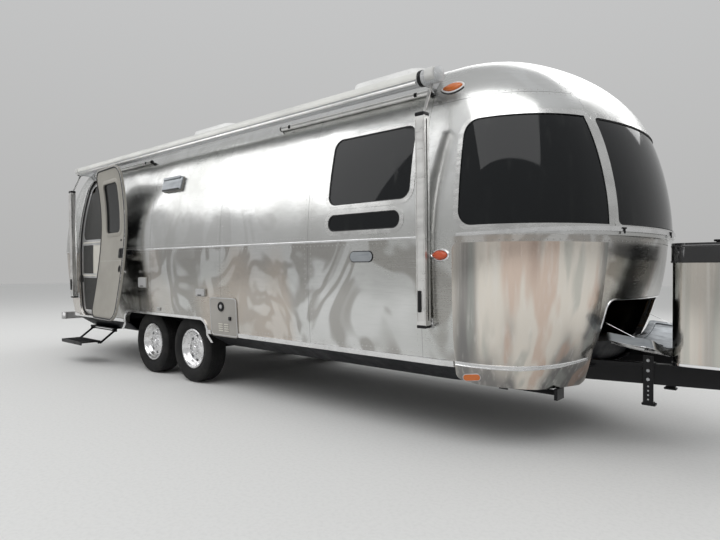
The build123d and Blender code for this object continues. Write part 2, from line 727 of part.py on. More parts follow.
def coupler():
    """Ball coupler: a channel on the A-frame's point, with a socket, latch and lever."""
    top = rail_top
    body = box((tongue_end - 30, ball_x - 20), (-55, 55), (top - 62, top))
    body += Pos(ball_x, 0, top - 44) * Cylinder(56, 88)
    body -= box((tongue_end - 200, tongue_end + 40), (-100, 100), (top - 200, top + seat))
    body += box((tongue_end - 150, tongue_end + 45), (-88, 88), (top + seat, top + 12))
    body += box((tongue_end + 39, tongue_end + 60), (-54, 54), (top - 60, top + 12))
    body -= Pos(ball_x, 0, top - 88 + socket_depth / 2) * Cylinder(socket_radius, socket_depth)
    lever = rod((tongue_end + 60, 0, top + 8), (tongue_end - 20, 0, top + 70), 9)
    pad = box((tongue_end + 30, tongue_end + 90), (-22, 22), (top - 4, top + 16))
    return {"coupler": body + lever + pad}


def jack():
    """The tongue jack: a tube with its head and flange, and the leg that slides in it."""
    housing = Pos(jack_x, 0, 655) * (Cylinder(30, 610) - Cylinder(26.5, 620))
    head = box((jack_x - 75, jack_x + 65), (-60, 60), (958, 1150))
    head = fillet(head.edges().filter_by(Axis.Z), 22)
    flange = Pos(jack_x, 0, rail_top + 6 + seat) * (Cylinder(75, 12) - Cylinder(29, 14))
    leg = Pos(jack_x, 0, 325) * Cylinder(26, 630)
    foot = Pos(jack_x, 0, 6) * Cylinder(80, 12)
    return {"jack_housing": housing + head + flange, "jack_leg": leg + foot}


def stabilisers():
    """Four drop legs, folded up under the corners."""
    parts = {}
    for x, ahead, end in leg_stations:
        for side, hand in ((-1, "right"), (1, "left")):
            y = side * leg_y
            reach = x + ahead * 400
            arm = box((x, reach), (y - 20, y + 20), (375, 405))
            arm -= box((x + ahead * 40, reach - ahead * 30), (y - 16, y + 16), (370, 400))
            eye = Pos(x, y, leg_pivot_z) * Rot(90, 0, 0) * Cylinder(15, 40)
            pin = Pos(x, y, leg_pivot_z) * Rot(90, 0, 0) * Cylinder(7, 76)
            foot = Pos(reach, y, 387) * Box(24, 120, 78)
            parts[f"stabiliser_{end}_{hand}"] = arm + eye + pin + foot
    return parts


step_x = (-2150, -1480)
step_pivot = (-1105, 418)       # y and height of the arms' pivot
step_knee = (-1290, 276)        # where the arms carry the tread


def entry_step():
    """Fold-out step: a fixed frame, two arms and a tread that the arms keep level."""
    rear, front = step_x
    top = pan_bottom - seat
    frame = box((rear - 20, front + 20), (-1130, -560), (top - 12, top))
    arms = rod((rear - 14, *step_pivot), (front + 14, *step_pivot), 8)
    arms += rod((rear - 4, *step_knee), (front + 4, *step_knee), 8)
    run = Vector(step_knee[0] - step_pivot[0], step_knee[1] - step_pivot[1])
    turn = math.degrees(math.atan2(run.Y, run.X))
    tread = box((rear + 30, front - 30), (-1530, -1280), (284, 300))
    tread += box((rear + 30, front - 30), (-1530, -1518), (260, 300))
    for end, inwards in ((rear, 1), (front, -1)):
        x = end + inwards * 6
        bar = SlotCenterToCenter(run.length, 26, rotation=turn)
        middle = ((step_pivot[0] + step_knee[0]) / 2, (step_pivot[1] + step_knee[1]) / 2)
        arms += extrude(Plane((x - 4, *middle), x_dir=(0, 1, 0), z_dir=(1, 0, 0)) * bar, 8)
        for ear in (x - 15, x + 15):
            frame += box((ear - 2.5, ear + 2.5), (-1130, -1080), (step_pivot[1] - 16, top - 6))
        lug = x + inwards * 32
        tread += box((lug - 4, lug + 4), (-1312, -1268), (step_knee[1] - 14, 290))
    frame -= rod((rear - 30, *step_pivot), (front + 30, *step_pivot), 8.4)
    tread -= rod((rear, *step_knee), (front, *step_knee), 8.4)
    return {"step_frame": frame, "step_arms": arms, "step_tread": tread}


def belly_and_floor():
    """Floor deck with wheel boxes, and the pan that closes the underside."""
    z, width, front, rear, corner = lower_row(floor_under, wall + seat)
    deck = extrude(plan(z, width, front - 8, rear + 8, corner + 8), floor_top - floor_under)
    side_box = box((-well_half - 20, well_half + 20), (-1180, -well_inner), (floor_under, well_top))
    side_hole = box((-well_half, well_half), (-1400, -well_inner - 20), (500, well_top - 20))
    for shape, hole in zip(both_sides(side_box), both_sides(side_hole)):
        deck += shape
        deck -= hole
    front_edge = box((4200, 5200), (-641, 641), (floor_under - 1, floor_top + 1))
    deck -= front_edge - lower_caps(apron_inset + apron_thickness + seat)
    # height, inset, corner radius
    pan_rows = ((skin_bottom - seat, 16, 780), (pan_bottom, 190, 520))
    thick = 12
    outer = []
    inner = []
    for (z, inset, radius), lift in zip(pan_rows, (0.01, thick)):
        z, width, front, rear, corner = lower_row(z, inset)
        outer.append(plan(z, width, front, rear, radius))
        inner.append(plan(z + lift, width - thick, front - thick, rear + thick, radius - thick))
    pan = loft(outer, ruled=True) - loft(inner, ruled=True)
    apron = lower_caps(apron_inset) - lower_caps(apron_inset + apron_thickness)
    apron &= box((4200, 5200), (-640, 640), (skin_bottom + 2, hatch_bottom - 2))
    for cutter in both_sides(arch_prism(y=(820, 1450))):
        pan -= cutter
    for side in (-1, 1):
        member = beam((frame_split, side * rail_y), (tongue_end, side * tongue_half), rail_width + 16,
                      (rail_bottom - seat, rail_top + 6))
        pan -= member
        apron -= member
        pan -= box((-3400, -2640), (side * 564, side * 636), (462, 700))
        for x, ahead, end in leg_stations:
            pan -= box((x - 60, x + 60), (side * 640, side * 760), (400, 480))
        for step in (-1, 1):
            x = step * axle_spacing / 2 + axle_ahead
            pan -= box((x - hanger_half - 6, x + hanger_half + 6), (side * rail_y - 36, side * rail_y + 36), (400, 480))
    return {"floor_deck": deck, "belly_pan": gather([pan, apron])}


def awning():
    """Roller, its arms and the two small window awnings."""
    low_y = -half_width(arm_bottom) - seat - 20
    top_y = -half_width(arm_top) - 150
    arms = []
    for x in arm_stations:
        profile = make_face(Polyline(
            (low_y, arm_bottom), (low_y - 60, arm_bottom), (top_y - 60, arm_top), (top_y, arm_top), close=True))
        face = Plane((x - 38, 0, 0), x_dir=(0, 1, 0), z_dir=(1, 0, 0)) * profile
        arm = extrude(face, 76)
        slot = make_face(Polyline(
            (low_y - 22, arm_bottom + 40), (low_y - 36, arm_bottom + 40), (top_y - 36, arm_top - 40),
            (top_y - 22, arm_top - 40), close=True))
        arm -= extrude(Plane((x - 40, 0, 0), x_dir=(0, 1, 0), z_dir=(1, 0, 0)) * slot, 80)
        arm += box((x - 30, x + 30), (low_y - 10, -half_width(arm_bottom) + 30), (arm_bottom + 10, arm_bottom + 60))
        arm += rod((x + 10, top_y - 30, arm_top - 20), (x + 10, roller_y - 20, roller_z - roller_radius - 12), 11)
        arms.append(arm - barrel(-seat, (rear_seam - 100, front_seam + 200)))
    ends = ((awning_rear, roller_y, roller_z), (awning_front, roller_y, roller_z))
    roller = rod(*ends, roller_radius)
    hold = -half_width(roller_z) + 30
    holders = []
    for x in (awning_rear, front_seam - 34):
        holder = box((x, x + 30), (roller_y + 10, hold), (roller_z - 45, roller_z + 50))
        holders.append(holder - rod(*ends, roller_radius + seat) - barrel(-seat, (rear_seam - 100, front_seam + 200)))
    small_y = -half_width(2540) - 21
    small = [rod((x0, small_y, 2545), (x1, small_y, 2545), 21) - barrel(-seat)
             for x0, x1 in ((1890, 3530), (-2060, -500))]
    return {"awning_arms": gather(arms), "awning_roller": gather([roller] + holders), "window_awnings": gather(small)}


def roof_units():
    units = []
    for x0, x1 in ((1950, 3000), (-1000, 50)):
        base = Pos((x0 + x1) / 2, 0, 2840) * RectangleRounded(x1 - x0, 720, 120)
        top = Pos((x0 + x1) / 2 - 30, 0, 3130) * RectangleRounded(x1 - x0 - 160, 600, 150)
        units.append(loft([base, top]))
    for x, y in ((1300, 0), (400, -300), (-1700, 0)):
        units.append(Pos(x, y, 2910) * Box(400, 400, 110))
    solid = barrel(-seat)
    return {"roof_units": gather([unit - solid for unit in units])}


def gas_locker():
    """Bottles on the A-frame under a metal cover with a hinged lid."""
    length, width = gas_front - gas_rear, 2 * gas_half
    middle = (gas_front + gas_rear) / 2
    bottom = tray_top + seat

    def ring(inset, z):
        return Pos(middle, 0, z) * RectangleRounded(length - 2 * inset, width - 2 * inset, 90 - inset)

    cover = extrude(ring(0, bottom), gas_top - bottom) - extrude(ring(sheet, bottom), 1000)
    skirt = gas_top - gas_lid_skirt
    lid = extrude(ring(-8, skirt), gas_lid_top - skirt)
    lid -= extrude(ring(-2, skirt), gas_lid_skirt + seat)
    lid -= extrude(ring(sheet, gas_top - 10), 60)
    x, z = gas_front + 16, skirt - 12
    for y in (-200, 200):
        lid += rod((x, y - 20, z), (x, y + 20, z), 6) + box((gas_front + 7, x - 3), (y - 19, y + 19), (z, skirt + 20))
        lid -= rod((x, y - 60, z), (x, y + 60, z), 3.1)
        for low, high in ((y - 46, y - 23), (y + 23, y + 46)):
            cover += rod((x, low, z), (x, high, z), 6)
            cover += box((gas_front - 1, gas_front + 3), (low + 1, high - 1), (z - 40, z + 6))
            cover += box((gas_front - 1, x), (low + 1, high - 1), (z - 6, z - 2))
        cover += rod((x, y - 46, z), (x, y + 46, z), 3)
    bottles = []
    for side in (-1, 1):
        body = fillet(Cylinder(150, 560).edges(), 70)
        bottle = Pos(0, 0, bottom + 280) * body
        bottle += Pos(0, 0, bottom + 600) * (Cylinder(95, 110) - Cylinder(90, 120))
        bottle += Pos(0, 0, bottom + 600) * Cylinder(18, 90)
        bottles.append(Pos(middle, side * 170, 0) * bottle)
    return {"gas_cover": cover, "gas_lid": lid, "gas_bottles": gather(bottles)}


def rear_bumper():
    bar = fillet(box((-3480, -3370), (-1040, 1040), (455, 560)).edges().filter_by(Axis.Z), 40)
    for side in (-1, 1):
        bar += box((-3400, rail_rear - seat), (side * 570, side * 630), (470, 540))
    return {"rear_bumper": bar}


def hitch_brackets():
    """Plates over the A-frame that the spring bars hang from."""
    plates = []
    rear, front = bracket_x
    outer = rail_at(rear) + rail_width / 2 + 3
    plate = box((rear, front), (-outer - 6, -outer), (336, 660))
    plate += box((rear, front), (-outer - 6, -outer + 76), (rail_top + seat, rail_top + 7))
    plate += box((rear, front), (-outer - 6, -outer + 40), (336, 344))
    return {"hitch_brackets": gather(both_sides(plate))}


def interior():
    """What shows through the doorway, hatch and windows."""
    lining = wall + seat
    seat_x = 3700
    board = (1045, 1063)
    z, width, front, rear, corner = lower_row(board[0], lining)
    top_board = extrude(plan(z, width, front - 8, rear, corner + 8), board[1] - board[0])
    top_board &= box((seat_x, 5500), (-1500, 1500), board)
    back = half_width(floor_top) - lining - 2
    top_board += box((seat_x, seat_x + 18), (-back, back), (floor_top + seat, board[0]))
    soft = wall + 45
    z, width, front, rear, corner = lower_row(board[1] + seat, soft)
    cushion = extrude(plan(z, width, front, rear, corner), 120)
    cushion &= box((seat_x + 10, 5500), (-1500, 1500), (1000, 1400))
    across = Plane((0, 0, 0), x_dir=(0, 1, 0), z_dir=(1, 0, 0)) * cross_section(lining)
    galley = extrude(Pos(1120, 0, 0) * across, 1100) & box((0, 3000), (620, 1500), (floor_top + seat, 1540))
    bath = extrude(Pos(-2340, 0, 0) * across, 25) & box((-4000, 0), (-1500, 1500), (floor_top + seat, 3000))
    bath -= box((-2500, -2200), (-300, 300), (floor_top + 20, 2500))
    return {"lounge_base": top_board, "lounge_cushions": cushion, "galley_block": galley, "bath_wall": bath}


makers = (chassis, shell_panels, glazing, trims, skin_fittings, entry_doors, front_hatch, wheels, axles, coupler,
          jack, stabilisers, entry_step, belly_and_floor, awning, roof_units, gas_locker, rear_bumper,
          hitch_brackets, interior)
os.makedirs("parts", exist_ok=True)
to_origin = Pos(-jack_x, 0, 0)
for make in makers:
    for name, shape in make().items():
        export_step(to_origin * shape, f"parts/{name}.step")
        print(name, len(shape.solids()), round(shape.volume / 1e6, 1))
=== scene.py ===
import bpy
import bmesh
import math
import numpy as np
from mathutils import Matrix, Vector


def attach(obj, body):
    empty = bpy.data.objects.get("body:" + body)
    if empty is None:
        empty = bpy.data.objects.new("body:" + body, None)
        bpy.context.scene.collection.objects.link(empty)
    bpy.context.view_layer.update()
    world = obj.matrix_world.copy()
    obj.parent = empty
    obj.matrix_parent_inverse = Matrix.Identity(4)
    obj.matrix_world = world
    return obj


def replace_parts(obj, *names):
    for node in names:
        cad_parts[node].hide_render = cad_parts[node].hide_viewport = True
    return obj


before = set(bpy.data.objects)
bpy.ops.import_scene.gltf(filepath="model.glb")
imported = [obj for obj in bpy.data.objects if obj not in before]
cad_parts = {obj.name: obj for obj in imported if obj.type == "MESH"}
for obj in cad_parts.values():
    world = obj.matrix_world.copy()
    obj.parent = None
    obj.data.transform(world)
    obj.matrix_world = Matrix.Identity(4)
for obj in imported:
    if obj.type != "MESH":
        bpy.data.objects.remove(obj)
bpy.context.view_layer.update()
axles = -5.55        # x of the point midway between the axles; x values below are ahead of it
print("frame loaded:", len(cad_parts), "nodes")

# The body's own curves, metres. Heights and widths are the real ones.
body = {
    "frontSeam": 3.567, "rearSeam": -2.370,
    "belt": 1.470, "beltHalf": 1.285,
    "lowerRadius": 9.600, "wallRadius": 3.200, "wallTurn": 17.6,
    "shoulderRadius": 0.560, "shoulderTurn": 78.0,
    "endWallRadius": 2.600, "endWallTurn": 17.0, "domeRadius": 1.130, "domeTurn": 80.0,
    "frontEnd": 4.860, "rearEnd": -3.360, "bow": 1.45,
    "cornerLow": 0.740, "cornerHigh": 0.170,
    "lowerRows": [(0.430, 4.480, -3.060, 0.780), (0.950, 4.730, -3.260, 0.800),
                  (1.470, 4.820, -3.360, 0.780)],
}
wallTurn = math.radians(body["wallTurn"])
shoulderTurn = math.radians(body["shoulderTurn"])
lowerCentre = (body["beltHalf"] - body["lowerRadius"], body["belt"])
wallCentre = (body["beltHalf"] - body["wallRadius"], body["belt"])
inward = body["wallRadius"] - body["shoulderRadius"]
shoulderCentre = (wallCentre[0] + inward * math.cos(wallTurn), wallCentre[1] + inward * math.sin(wallTurn))
crownRadius = body["shoulderRadius"] + shoulderCentre[0] / math.cos(shoulderTurn)
crownCentre = (0.0, shoulderCentre[1] - (crownRadius - body["shoulderRadius"]) * math.sin(shoulderTurn))
crownTop = crownCentre[1] + crownRadius
wallTop = wallCentre[1] + body["wallRadius"] * math.sin(wallTurn)
shoulderTop = shoulderCentre[1] + body["shoulderRadius"] * math.sin(shoulderTurn)


def arcAt(z):                     # centre and radius of the cross-section's arc at each height
    z = np.asarray(z, float)
    pick = [z <= body["belt"], z <= wallTop, z <= shoulderTop]
    centreY = np.select(pick, [lowerCentre[0], wallCentre[0], shoulderCentre[0]], crownCentre[0])
    centreZ = np.select(pick, [lowerCentre[1], wallCentre[1], shoulderCentre[1]], crownCentre[1])
    radius = np.select(pick, [body["lowerRadius"], body["wallRadius"], body["shoulderRadius"]], crownRadius)
    return centreY, centreZ, radius


def halfWidth(z):
    centreY, centreZ, radius = arcAt(z)
    return centreY + np.sqrt(np.maximum(radius ** 2 - (np.asarray(z, float) - centreZ) ** 2, 1e-9))


def endTable():                   # how the upper ends draw in with height
    lean = np.radians(np.linspace(0.0, body["domeTurn"], 400))
    turn = math.radians(body["endWallTurn"])
    wallLean = np.minimum(lean, turn)
    back = body["endWallRadius"] * (1 - np.cos(wallLean))
    rise = body["endWallRadius"] * np.sin(wallLean)
    back += np.where(lean > turn, body["domeRadius"] * (math.cos(turn) - np.cos(lean)), 0)
    rise += np.where(lean > turn, body["domeRadius"] * (np.sin(lean) - math.sin(turn)), 0)
    return body["belt"] + rise * (crownTop - body["belt"]) / rise[-1], back


endZ, endBack = endTable()


def planRow(z):                   # half width, front end, rear end and corner radius at each height
    z = np.asarray(z, float)
    width = halfWidth(z)
    low, middle, high = body["lowerRows"]
    share = (z - low[0]) / (middle[0] - low[0])
    bend = share * (share - 1) / 2
    lower = [a + share * (b - a) + bend * (c - 2 * b + a) for a, b, c in zip(low[1:], middle[1:], high[1:])]
    back = np.interp(z, endZ, endBack)
    round_ = body["cornerHigh"] + (body["cornerLow"] - body["cornerHigh"]) * (width / body["beltHalf"]) ** 1.3
    upper = [body["frontEnd"] - back, body["rearEnd"] + back, np.minimum(round_, 0.65 * width)]
    chosen = [np.where(z <= body["belt"], a, b) for a, b in zip(lower, upper)]
    return width, chosen[0], chosen[1], chosen[2]


def planPlace(x, y, z):           # distance outside the plan outline, and the outline's normal there
    width, front, rear, corner = planRow(z)
    way = np.where(x < 0, -1.0, 1.0)
    reachX = np.abs(x)
    end = np.where(x < 0, -rear, front)
    sideY = np.abs(y)
    bow = body["bow"] * width
    cornerY = width - corner
    reach = np.sqrt((bow - corner) ** 2 - cornerY ** 2)
    bowX = end - bow
    ahead = bowX + reach
    toCornerX, toCornerY = reachX - ahead, sideY - cornerY
    onCorner = np.arctan2(toCornerY, toCornerX) >= np.arctan2(cornerY, reach)
    cornerLength = np.hypot(toCornerX, toCornerY)
    bowLength = np.hypot(reachX - bowX, sideY)
    straight = reachX <= ahead
    gap = np.where(straight, sideY - width, np.where(onCorner, cornerLength - corner, bowLength - bow))
    outX = np.where(straight, 0, np.where(onCorner, toCornerX / np.maximum(cornerLength, 1e-6),
                                          (reachX - bowX) / np.maximum(bowLength, 1e-6)))
    outY = np.where(straight, 1, np.where(onCorner, toCornerY / np.maximum(cornerLength, 1e-6),
                                          sideY / np.maximum(bowLength, 1e-6)))
    return gap, outX * way, outY * np.sign(y)


def skinNormals(points):          # outward normal of the body's skin near each point, in the row frame
    x, y, z = points[:, 0] - axles, points[:, 1], np.minimum(points[:, 2], crownTop - 0.0005)
    step = 0.0002
    gap, outX, outY = planPlace(x, y, z)
    rise = (planPlace(x, y, z + step)[0] - planPlace(x, y, z - step)[0]) / (2 * step)
    normal = np.stack([outX, outY, rise], 1)
    centreY, centreZ, radius = arcAt(z)
    side = np.stack([0 * x, np.sign(y) * (np.abs(y) - centreY), z - centreZ], 1)
    barrel = (x < body["frontSeam"]) & (x > body["rearSeam"])
    normal[barrel] = side[barrel]
    return normal / np.linalg.norm(normal, axis=1)[:, None]


def planShape(z, way):            # half width, bow, corner radius, its centre's y and reach, the bow's centre
    width, front, rear, corner = [float(v) for v in planRow(z)]
    bow = body["bow"] * width
    cornerY = width - corner
    reach = math.sqrt((bow - corner) ** 2 - cornerY ** 2)
    return width, bow, corner, cornerY, reach, (front if way >= 0 else -rear) - bow


def lifted(x, y, z, proud):       # a point of the skin moved out along the normal there, with that normal
    point = np.array([[x + axles, y, z]])
    normal = skinNormals(point)
    return Vector((point + normal * proud)[0]), Vector(normal[0])


def sidePoint(x, z, hand=-1, proud=0.0):      # point of the skin at a place along the side
    width, bow, corner, cornerY, reach, bowX = planShape(z, x)
    beyond = abs(x) - bowX - reach
    y = width
    if beyond > 0:
        y = cornerY + math.sqrt(max(corner ** 2 - beyond ** 2, 0))
        if math.atan2(y - cornerY, beyond) < math.atan2(cornerY, reach):
            y = math.sqrt(max(bow ** 2 - (abs(x) - bowX) ** 2, 0))
    return lifted(x, hand * y, z, proud)


def endPoint(y, z, way=1, proud=0.0):         # point of the front (way 1) or rear skin
    width, bow, corner, cornerY, reach, bowX = planShape(z, way)
    x = bowX + math.sqrt(max(bow ** 2 - y ** 2, 0))
    if math.atan2(abs(y), x - bowX) > math.atan2(cornerY, reach):
        x = bowX + reach + math.sqrt(max(corner ** 2 - (abs(y) - cornerY) ** 2, 0))
    return lifted(way * x, y, z, proud)


class Channel:                    # a socket that takes part in plain arithmetic
    def __init__(self, tree, socket):
        self.tree = tree
        self.socket = socket

    def maths(self, operation, *values):
        node = self.tree.nodes.new("ShaderNodeMath")
        node.operation = operation
        for socket, value in zip(node.inputs, values):
            if isinstance(value, Channel):
                self.tree.links.new(value.socket, socket)
            else:
                socket.default_value = value
        return Channel(self.tree, node.outputs[0])

    def of(self, operation):
        return self.maths(operation, self)

    def most(self, other):
        return self.maths("MAXIMUM", self, other)

    def __add__(self, other):
        return self.maths("ADD", self, other)

    def __radd__(self, other):
        return self.maths("ADD", other, self)

    def __sub__(self, other):
        return self.maths("SUBTRACT", self, other)

    def __rsub__(self, other):
        return self.maths("SUBTRACT", other, self)

    def __mul__(self, other):
        return self.maths("MULTIPLY", self, other)

    def __rmul__(self, other):
        return self.maths("MULTIPLY", other, self)

    def __truediv__(self, other):
        return self.maths("DIVIDE", self, other)

    def __abs__(self):
        return self.maths("ABSOLUTE", self)

    def __lt__(self, other):
        return self.maths("LESS_THAN", self, other)

    def __gt__(self, other):
        return self.maths("GREATER_THAN", self, other)


class Finish:                     # a material and the nodes that make it
    def __init__(self, name, colour, rough=0.5, metal=0.0, **fixed):
        self.material = bpy.data.materials.new(name)
        self.material.use_nodes = True
        self.tree = self.material.node_tree
        self.shader = self.tree.nodes["Principled BSDF"]
        self.shader.inputs["Base Color"].default_value = (*colour, 1)
        self.shader.inputs["Roughness"].default_value = rough
        self.shader.inputs["Metallic"].default_value = metal
        self.colour = colour
        for socket, value in fixed.items():
            self.shader.inputs[socket.replace("_", " ")].default_value = value

    def node(self, kind, settings=None, output=0, **values):
        node = self.tree.nodes.new(kind)
        for key, value in (settings or {}).items():
            if key == "stops":
                ramp = node.color_ramp
                while len(ramp.elements) < len(value):
                    ramp.elements.new(0.5)
                for element, (place, colour) in zip(ramp.elements, value):
                    element.position = place
                    element.color = (*colour, 1)
            else:
                setattr(node, key, value)
        for name, value in values.items():
            socket = node.inputs[int(name[1:])] if name[0] == "_" else node.inputs[name.replace("_", " ")]
            if isinstance(value, Channel):
                self.tree.links.new(value.socket, socket)
            else:
                socket.default_value = value
        return Channel(self.tree, node.outputs[output])

    def place(self, scale=(1, 1, 1), centre=(0, 0, 0), turn=(0, 0, 0)):
        at = self.node("ShaderNodeTexCoord", output=3)
        if (scale, centre, turn) == ((1, 1, 1), (0, 0, 0), (0, 0, 0)):
            return at
        moved = self.node("ShaderNodeVectorMath", {"operation": "SUBTRACT"}, _0=at, _1=centre)
        return self.node("ShaderNodeMapping", Vector=moved, Scale=scale, Rotation=turn)

    def axes(self, at=None):
        split = self.tree.nodes.new("ShaderNodeSeparateXYZ")
        self.tree.links.new((at or self.place()).socket, split.inputs[0])
        return [Channel(self.tree, socket) for socket in split.outputs]

    def noise(self, scale, detail=3.0, rough=0.5, stretch=(1, 1, 1), centre=(0, 0, 0)):
        return self.node("ShaderNodeTexNoise", Vector=self.place(stretch, centre), Scale=scale, Detail=detail,
                         Roughness=rough)

    def between(self, value, low, high, start=0.0, end=1.0, smooth=True):
        kind = "SMOOTHSTEP" if smooth else "LINEAR"
        return self.node("ShaderNodeMapRange", {"interpolation_type": kind}, Value=value, _1=low, _2=high,
                         _3=start, _4=end)

    def mix(self, share, first, second):
        first = (*first, 1) if isinstance(first, tuple) else first
        second = (*second, 1) if isinstance(second, tuple) else second
        return self.node("ShaderNodeMix", {"data_type": "RGBA"}, output=2, _0=share, _6=first, _7=second)

    def bump(self, height, distance=0.001, strength=1.0, under=None):
        values = {"Height": height, "Distance": distance, "Strength": strength}
        if under is not None:
            values["Normal"] = under
        return self.node("ShaderNodeBump", **values)

    def set(self, **values):
        for name, value in values.items():
            self.tree.links.new(value.socket, self.shader.inputs[name.replace("_", " ")])
        return self.material


# Places of the sheet joints, ahead of the axles, and of the joints on the front dome
joints = {"side": [2.42, 1.16, -0.22, -1.20], "domeHeight": 2.43, "domeHalf": 0.745, "line": 0.0016}


def sheetLines(f):                # mask of the lines where two sheets lap, 1 on the line
    x, y, z = f.axes()
    mask = None
    for station in joints["side"] + [body["frontSeam"], body["rearSeam"]]:
        line = abs(x - (station + axles)) < joints["line"]
        mask = line if mask is None else mask.most(line)
    onDome = x > body["frontSeam"] + axles
    side = abs(y) > joints["domeHalf"]
    ring = (abs(z - joints["domeHeight"]) < joints["line"]) * onDome * side
    rib = (abs(abs(y) - joints["domeHalf"]) < joints["line"]) * onDome * (z > 2.28) * (z < 2.72)
    return mask.most(ring).most(rib)


def polishedSkin():               # rolled aluminium sheet, polished, a little wavy and cloudy, with painted reflections: dark swirling pools, strongest below the belt, and a warm tint below it
    f = Finish("polishedSkin", (0.62, 0.62, 0.61), 0.2, 1.0)
    z = f.axes()[2]
    cloud = f.noise(0.9, 3, 0.55)
    paintedReflectionSwirl = f.node("ShaderNodeTexNoise", Vector=f.place((1, 1, 0.8)), Scale=1.5, Detail=2.0, Roughness=0.5,
                   Distortion=1.6)
    grain = f.noise(5, 4, 0.6, stretch=(1, 1, 42))
    fine = f.noise(70, 3, 0.6)
    low = f.between(z, 1.46, 1.48, 1, 0)
    tint = f.mix(f.between(cloud, 0.32, 0.68), (0.72, 0.725, 0.72), (0.56, 0.565, 0.55))
    # painted reflection: dark swirling pools laid into the colour, stronger below the belt
    paintedReflectionPools = f.between(paintedReflectionSwirl, 0.40, 0.47) * f.between(paintedReflectionSwirl, 0.53, 0.60, 1, 0)
    tint = f.mix(paintedReflectionPools * (low * 0.55 + 0.12), tint, (0.30, 0.285, 0.26))
    # painted reflection: a warm tint in patches below the belt
    paintedWarmReflection = f.between(f.noise(1.1, 2, 0.5, stretch=(1, 1, 0.6)), 0.50, 0.66) * low
    tint = f.mix(paintedWarmReflection * 0.45, tint, (0.66, 0.56, 0.47))
    tint = f.mix(f.between(grain, 0.45, 0.75, 0, 0.28), tint, (0.48, 0.485, 0.48))
    lines = sheetLines(f)
    tint = f.mix(lines * 0.75, tint, (0.12, 0.12, 0.12))
    rough = f.between(cloud, 0.3, 0.7, 0.13, 0.24) + grain * 0.07 + fine * 0.03
    dent = f.noise(1.7, 1, 0.4, stretch=(1, 1, 0.8))
    wave = f.bump(dent, 0.045, 0.5)
    small = f.bump(f.noise(5.5, 2, 0.5), 0.0035, 0.5, under=wave)
    seam = f.bump(1 - lines, 0.0006, 0.6, under=small)
    return f.set(Base_Color=tint, Roughness=rough, Normal=seam)


def reflectionPaintedSteel():              # mirror stainless of the guards and the gas cover, with painted reflections in bands up and down
    f = Finish("reflectionPaintedSteel", (0.62, 0.60, 0.57), 0.15, 1.0)
    paintedReflectionBands = f.noise(3.4, 2, 0.5, stretch=(1, 1, 0.05))
    second = f.noise(6.5, 2, 0.5, stretch=(1, 1, 0.04), centre=(3, 1, 0))
    fine = f.noise(30, 3, 0.6, stretch=(1, 1, 0.015))
    # painted reflection: light and dark, reddish and greenish bands running up and down
    tint = f.mix(f.between(paintedReflectionBands, 0.40, 0.60), (0.78, 0.73, 0.66), (0.24, 0.235, 0.23))
    tint = f.mix(f.between(second, 0.54, 0.64, 0, 0.55), tint, (0.62, 0.43, 0.34))
    tint = f.mix(f.between(second, 0.44, 0.36, 0, 0.5), tint, (0.42, 0.44, 0.41))
    # painted highlight: bright fine streaks up and down; the same noise also sets the real roughness and
    # bumps
    tint = f.mix(f.between(fine, 0.5, 0.75, 0, 0.35), tint, (0.85, 0.83, 0.79))
    rough = f.between(fine, 0.3, 0.7, 0.10, 0.22)
    return f.set(Base_Color=tint, Roughness=rough, Normal=f.bump(fine, 0.0004, 0.5))


def trimMetal(name="trimMetal", colour=(0.80, 0.80, 0.80), rough=0.2):
    f = Finish(name, colour, rough, 1.0)
    grain = f.noise(40, 4, 0.6, stretch=(0.1, 1, 1))
    wear = f.noise(7, 3, 0.6)
    tint = f.mix(f.between(wear, 0.4, 0.7), colour, tuple(c * 0.86 for c in colour))
    return f.set(Base_Color=tint, Roughness=f.between(grain, 0.3, 0.7, rough * 0.8, rough * 1.5),
                 Normal=f.bump(grain, 0.0003, 0.4))


def darkGlass():                  # tinted safety glass, with faint run marks
    f = Finish("darkGlass", (0.006, 0.007, 0.008), 0.03, 0.0, IOR=1.45, Alpha=0.95, Specular_IOR_Level=0.35)
    runs = f.noise(16, 4, 0.6, stretch=(1, 1, 0.07))
    dust = f.noise(2.5, 4, 0.6)
    tint = f.mix(f.between(runs, 0.56, 0.78, 0, 0.5), (0.005, 0.006, 0.007), (0.03, 0.032, 0.030))
    rough = f.between(dust, 0.35, 0.75, 0.02, 0.09) + f.between(runs, 0.55, 0.8, 0, 0.12)
    return f.set(Base_Color=tint, Roughness=rough)


def paint(name, colour, rough=0.35, metal=0.0, orange=0.0003):
    f = Finish(name, colour, rough, metal, Specular_IOR_Level=0.28 if max(colour) < 0.1 else 0.5)
    skin = f.noise(160, 2, 0.5)
    dirt = f.noise(3.2, 5, 0.65)
    tint = f.mix(f.between(dirt, 0.45, 0.8, 0, 0.5), colour, tuple(c * 0.8 + 0.006 for c in colour))
    return f.set(Base_Color=tint, Roughness=f.between(dirt, 0.3, 0.75, rough * 0.8, min(rough * 1.6, 1)),
                 Normal=f.bump(skin, orange, 0.4))


def plastic(name, colour, rough=0.45, coat=0.0):
    f = Finish(name, colour, rough, 0.0, Coat_Weight=coat)
    grain = f.noise(420, 2, 0.5)
    fade = f.noise(2.2, 3, 0.6)
    tint = f.mix(f.between(fade, 0.35, 0.7), colour, tuple(c * 0.85 for c in colour))
    return f.set(Base_Color=tint, Roughness=f.between(grain, 0.3, 0.7, rough * 0.85, rough * 1.15),
                 Normal=f.bump(grain, 0.0002, 0.35))


def lensPlastic(name, colour):    # ribbed lens, dark base showing at the ribs
    f = Finish(name, colour, 0.12, 0.0, Coat_Weight=0.6)
    z = f.axes()[2]
    ribs = (z * 1300).of("SINE")
    tint = f.mix(f.between(ribs, -1, 1), tuple(c * 0.62 for c in colour), colour)
    return f.set(Base_Color=tint, Normal=f.bump(ribs, 0.0006, 0.5))


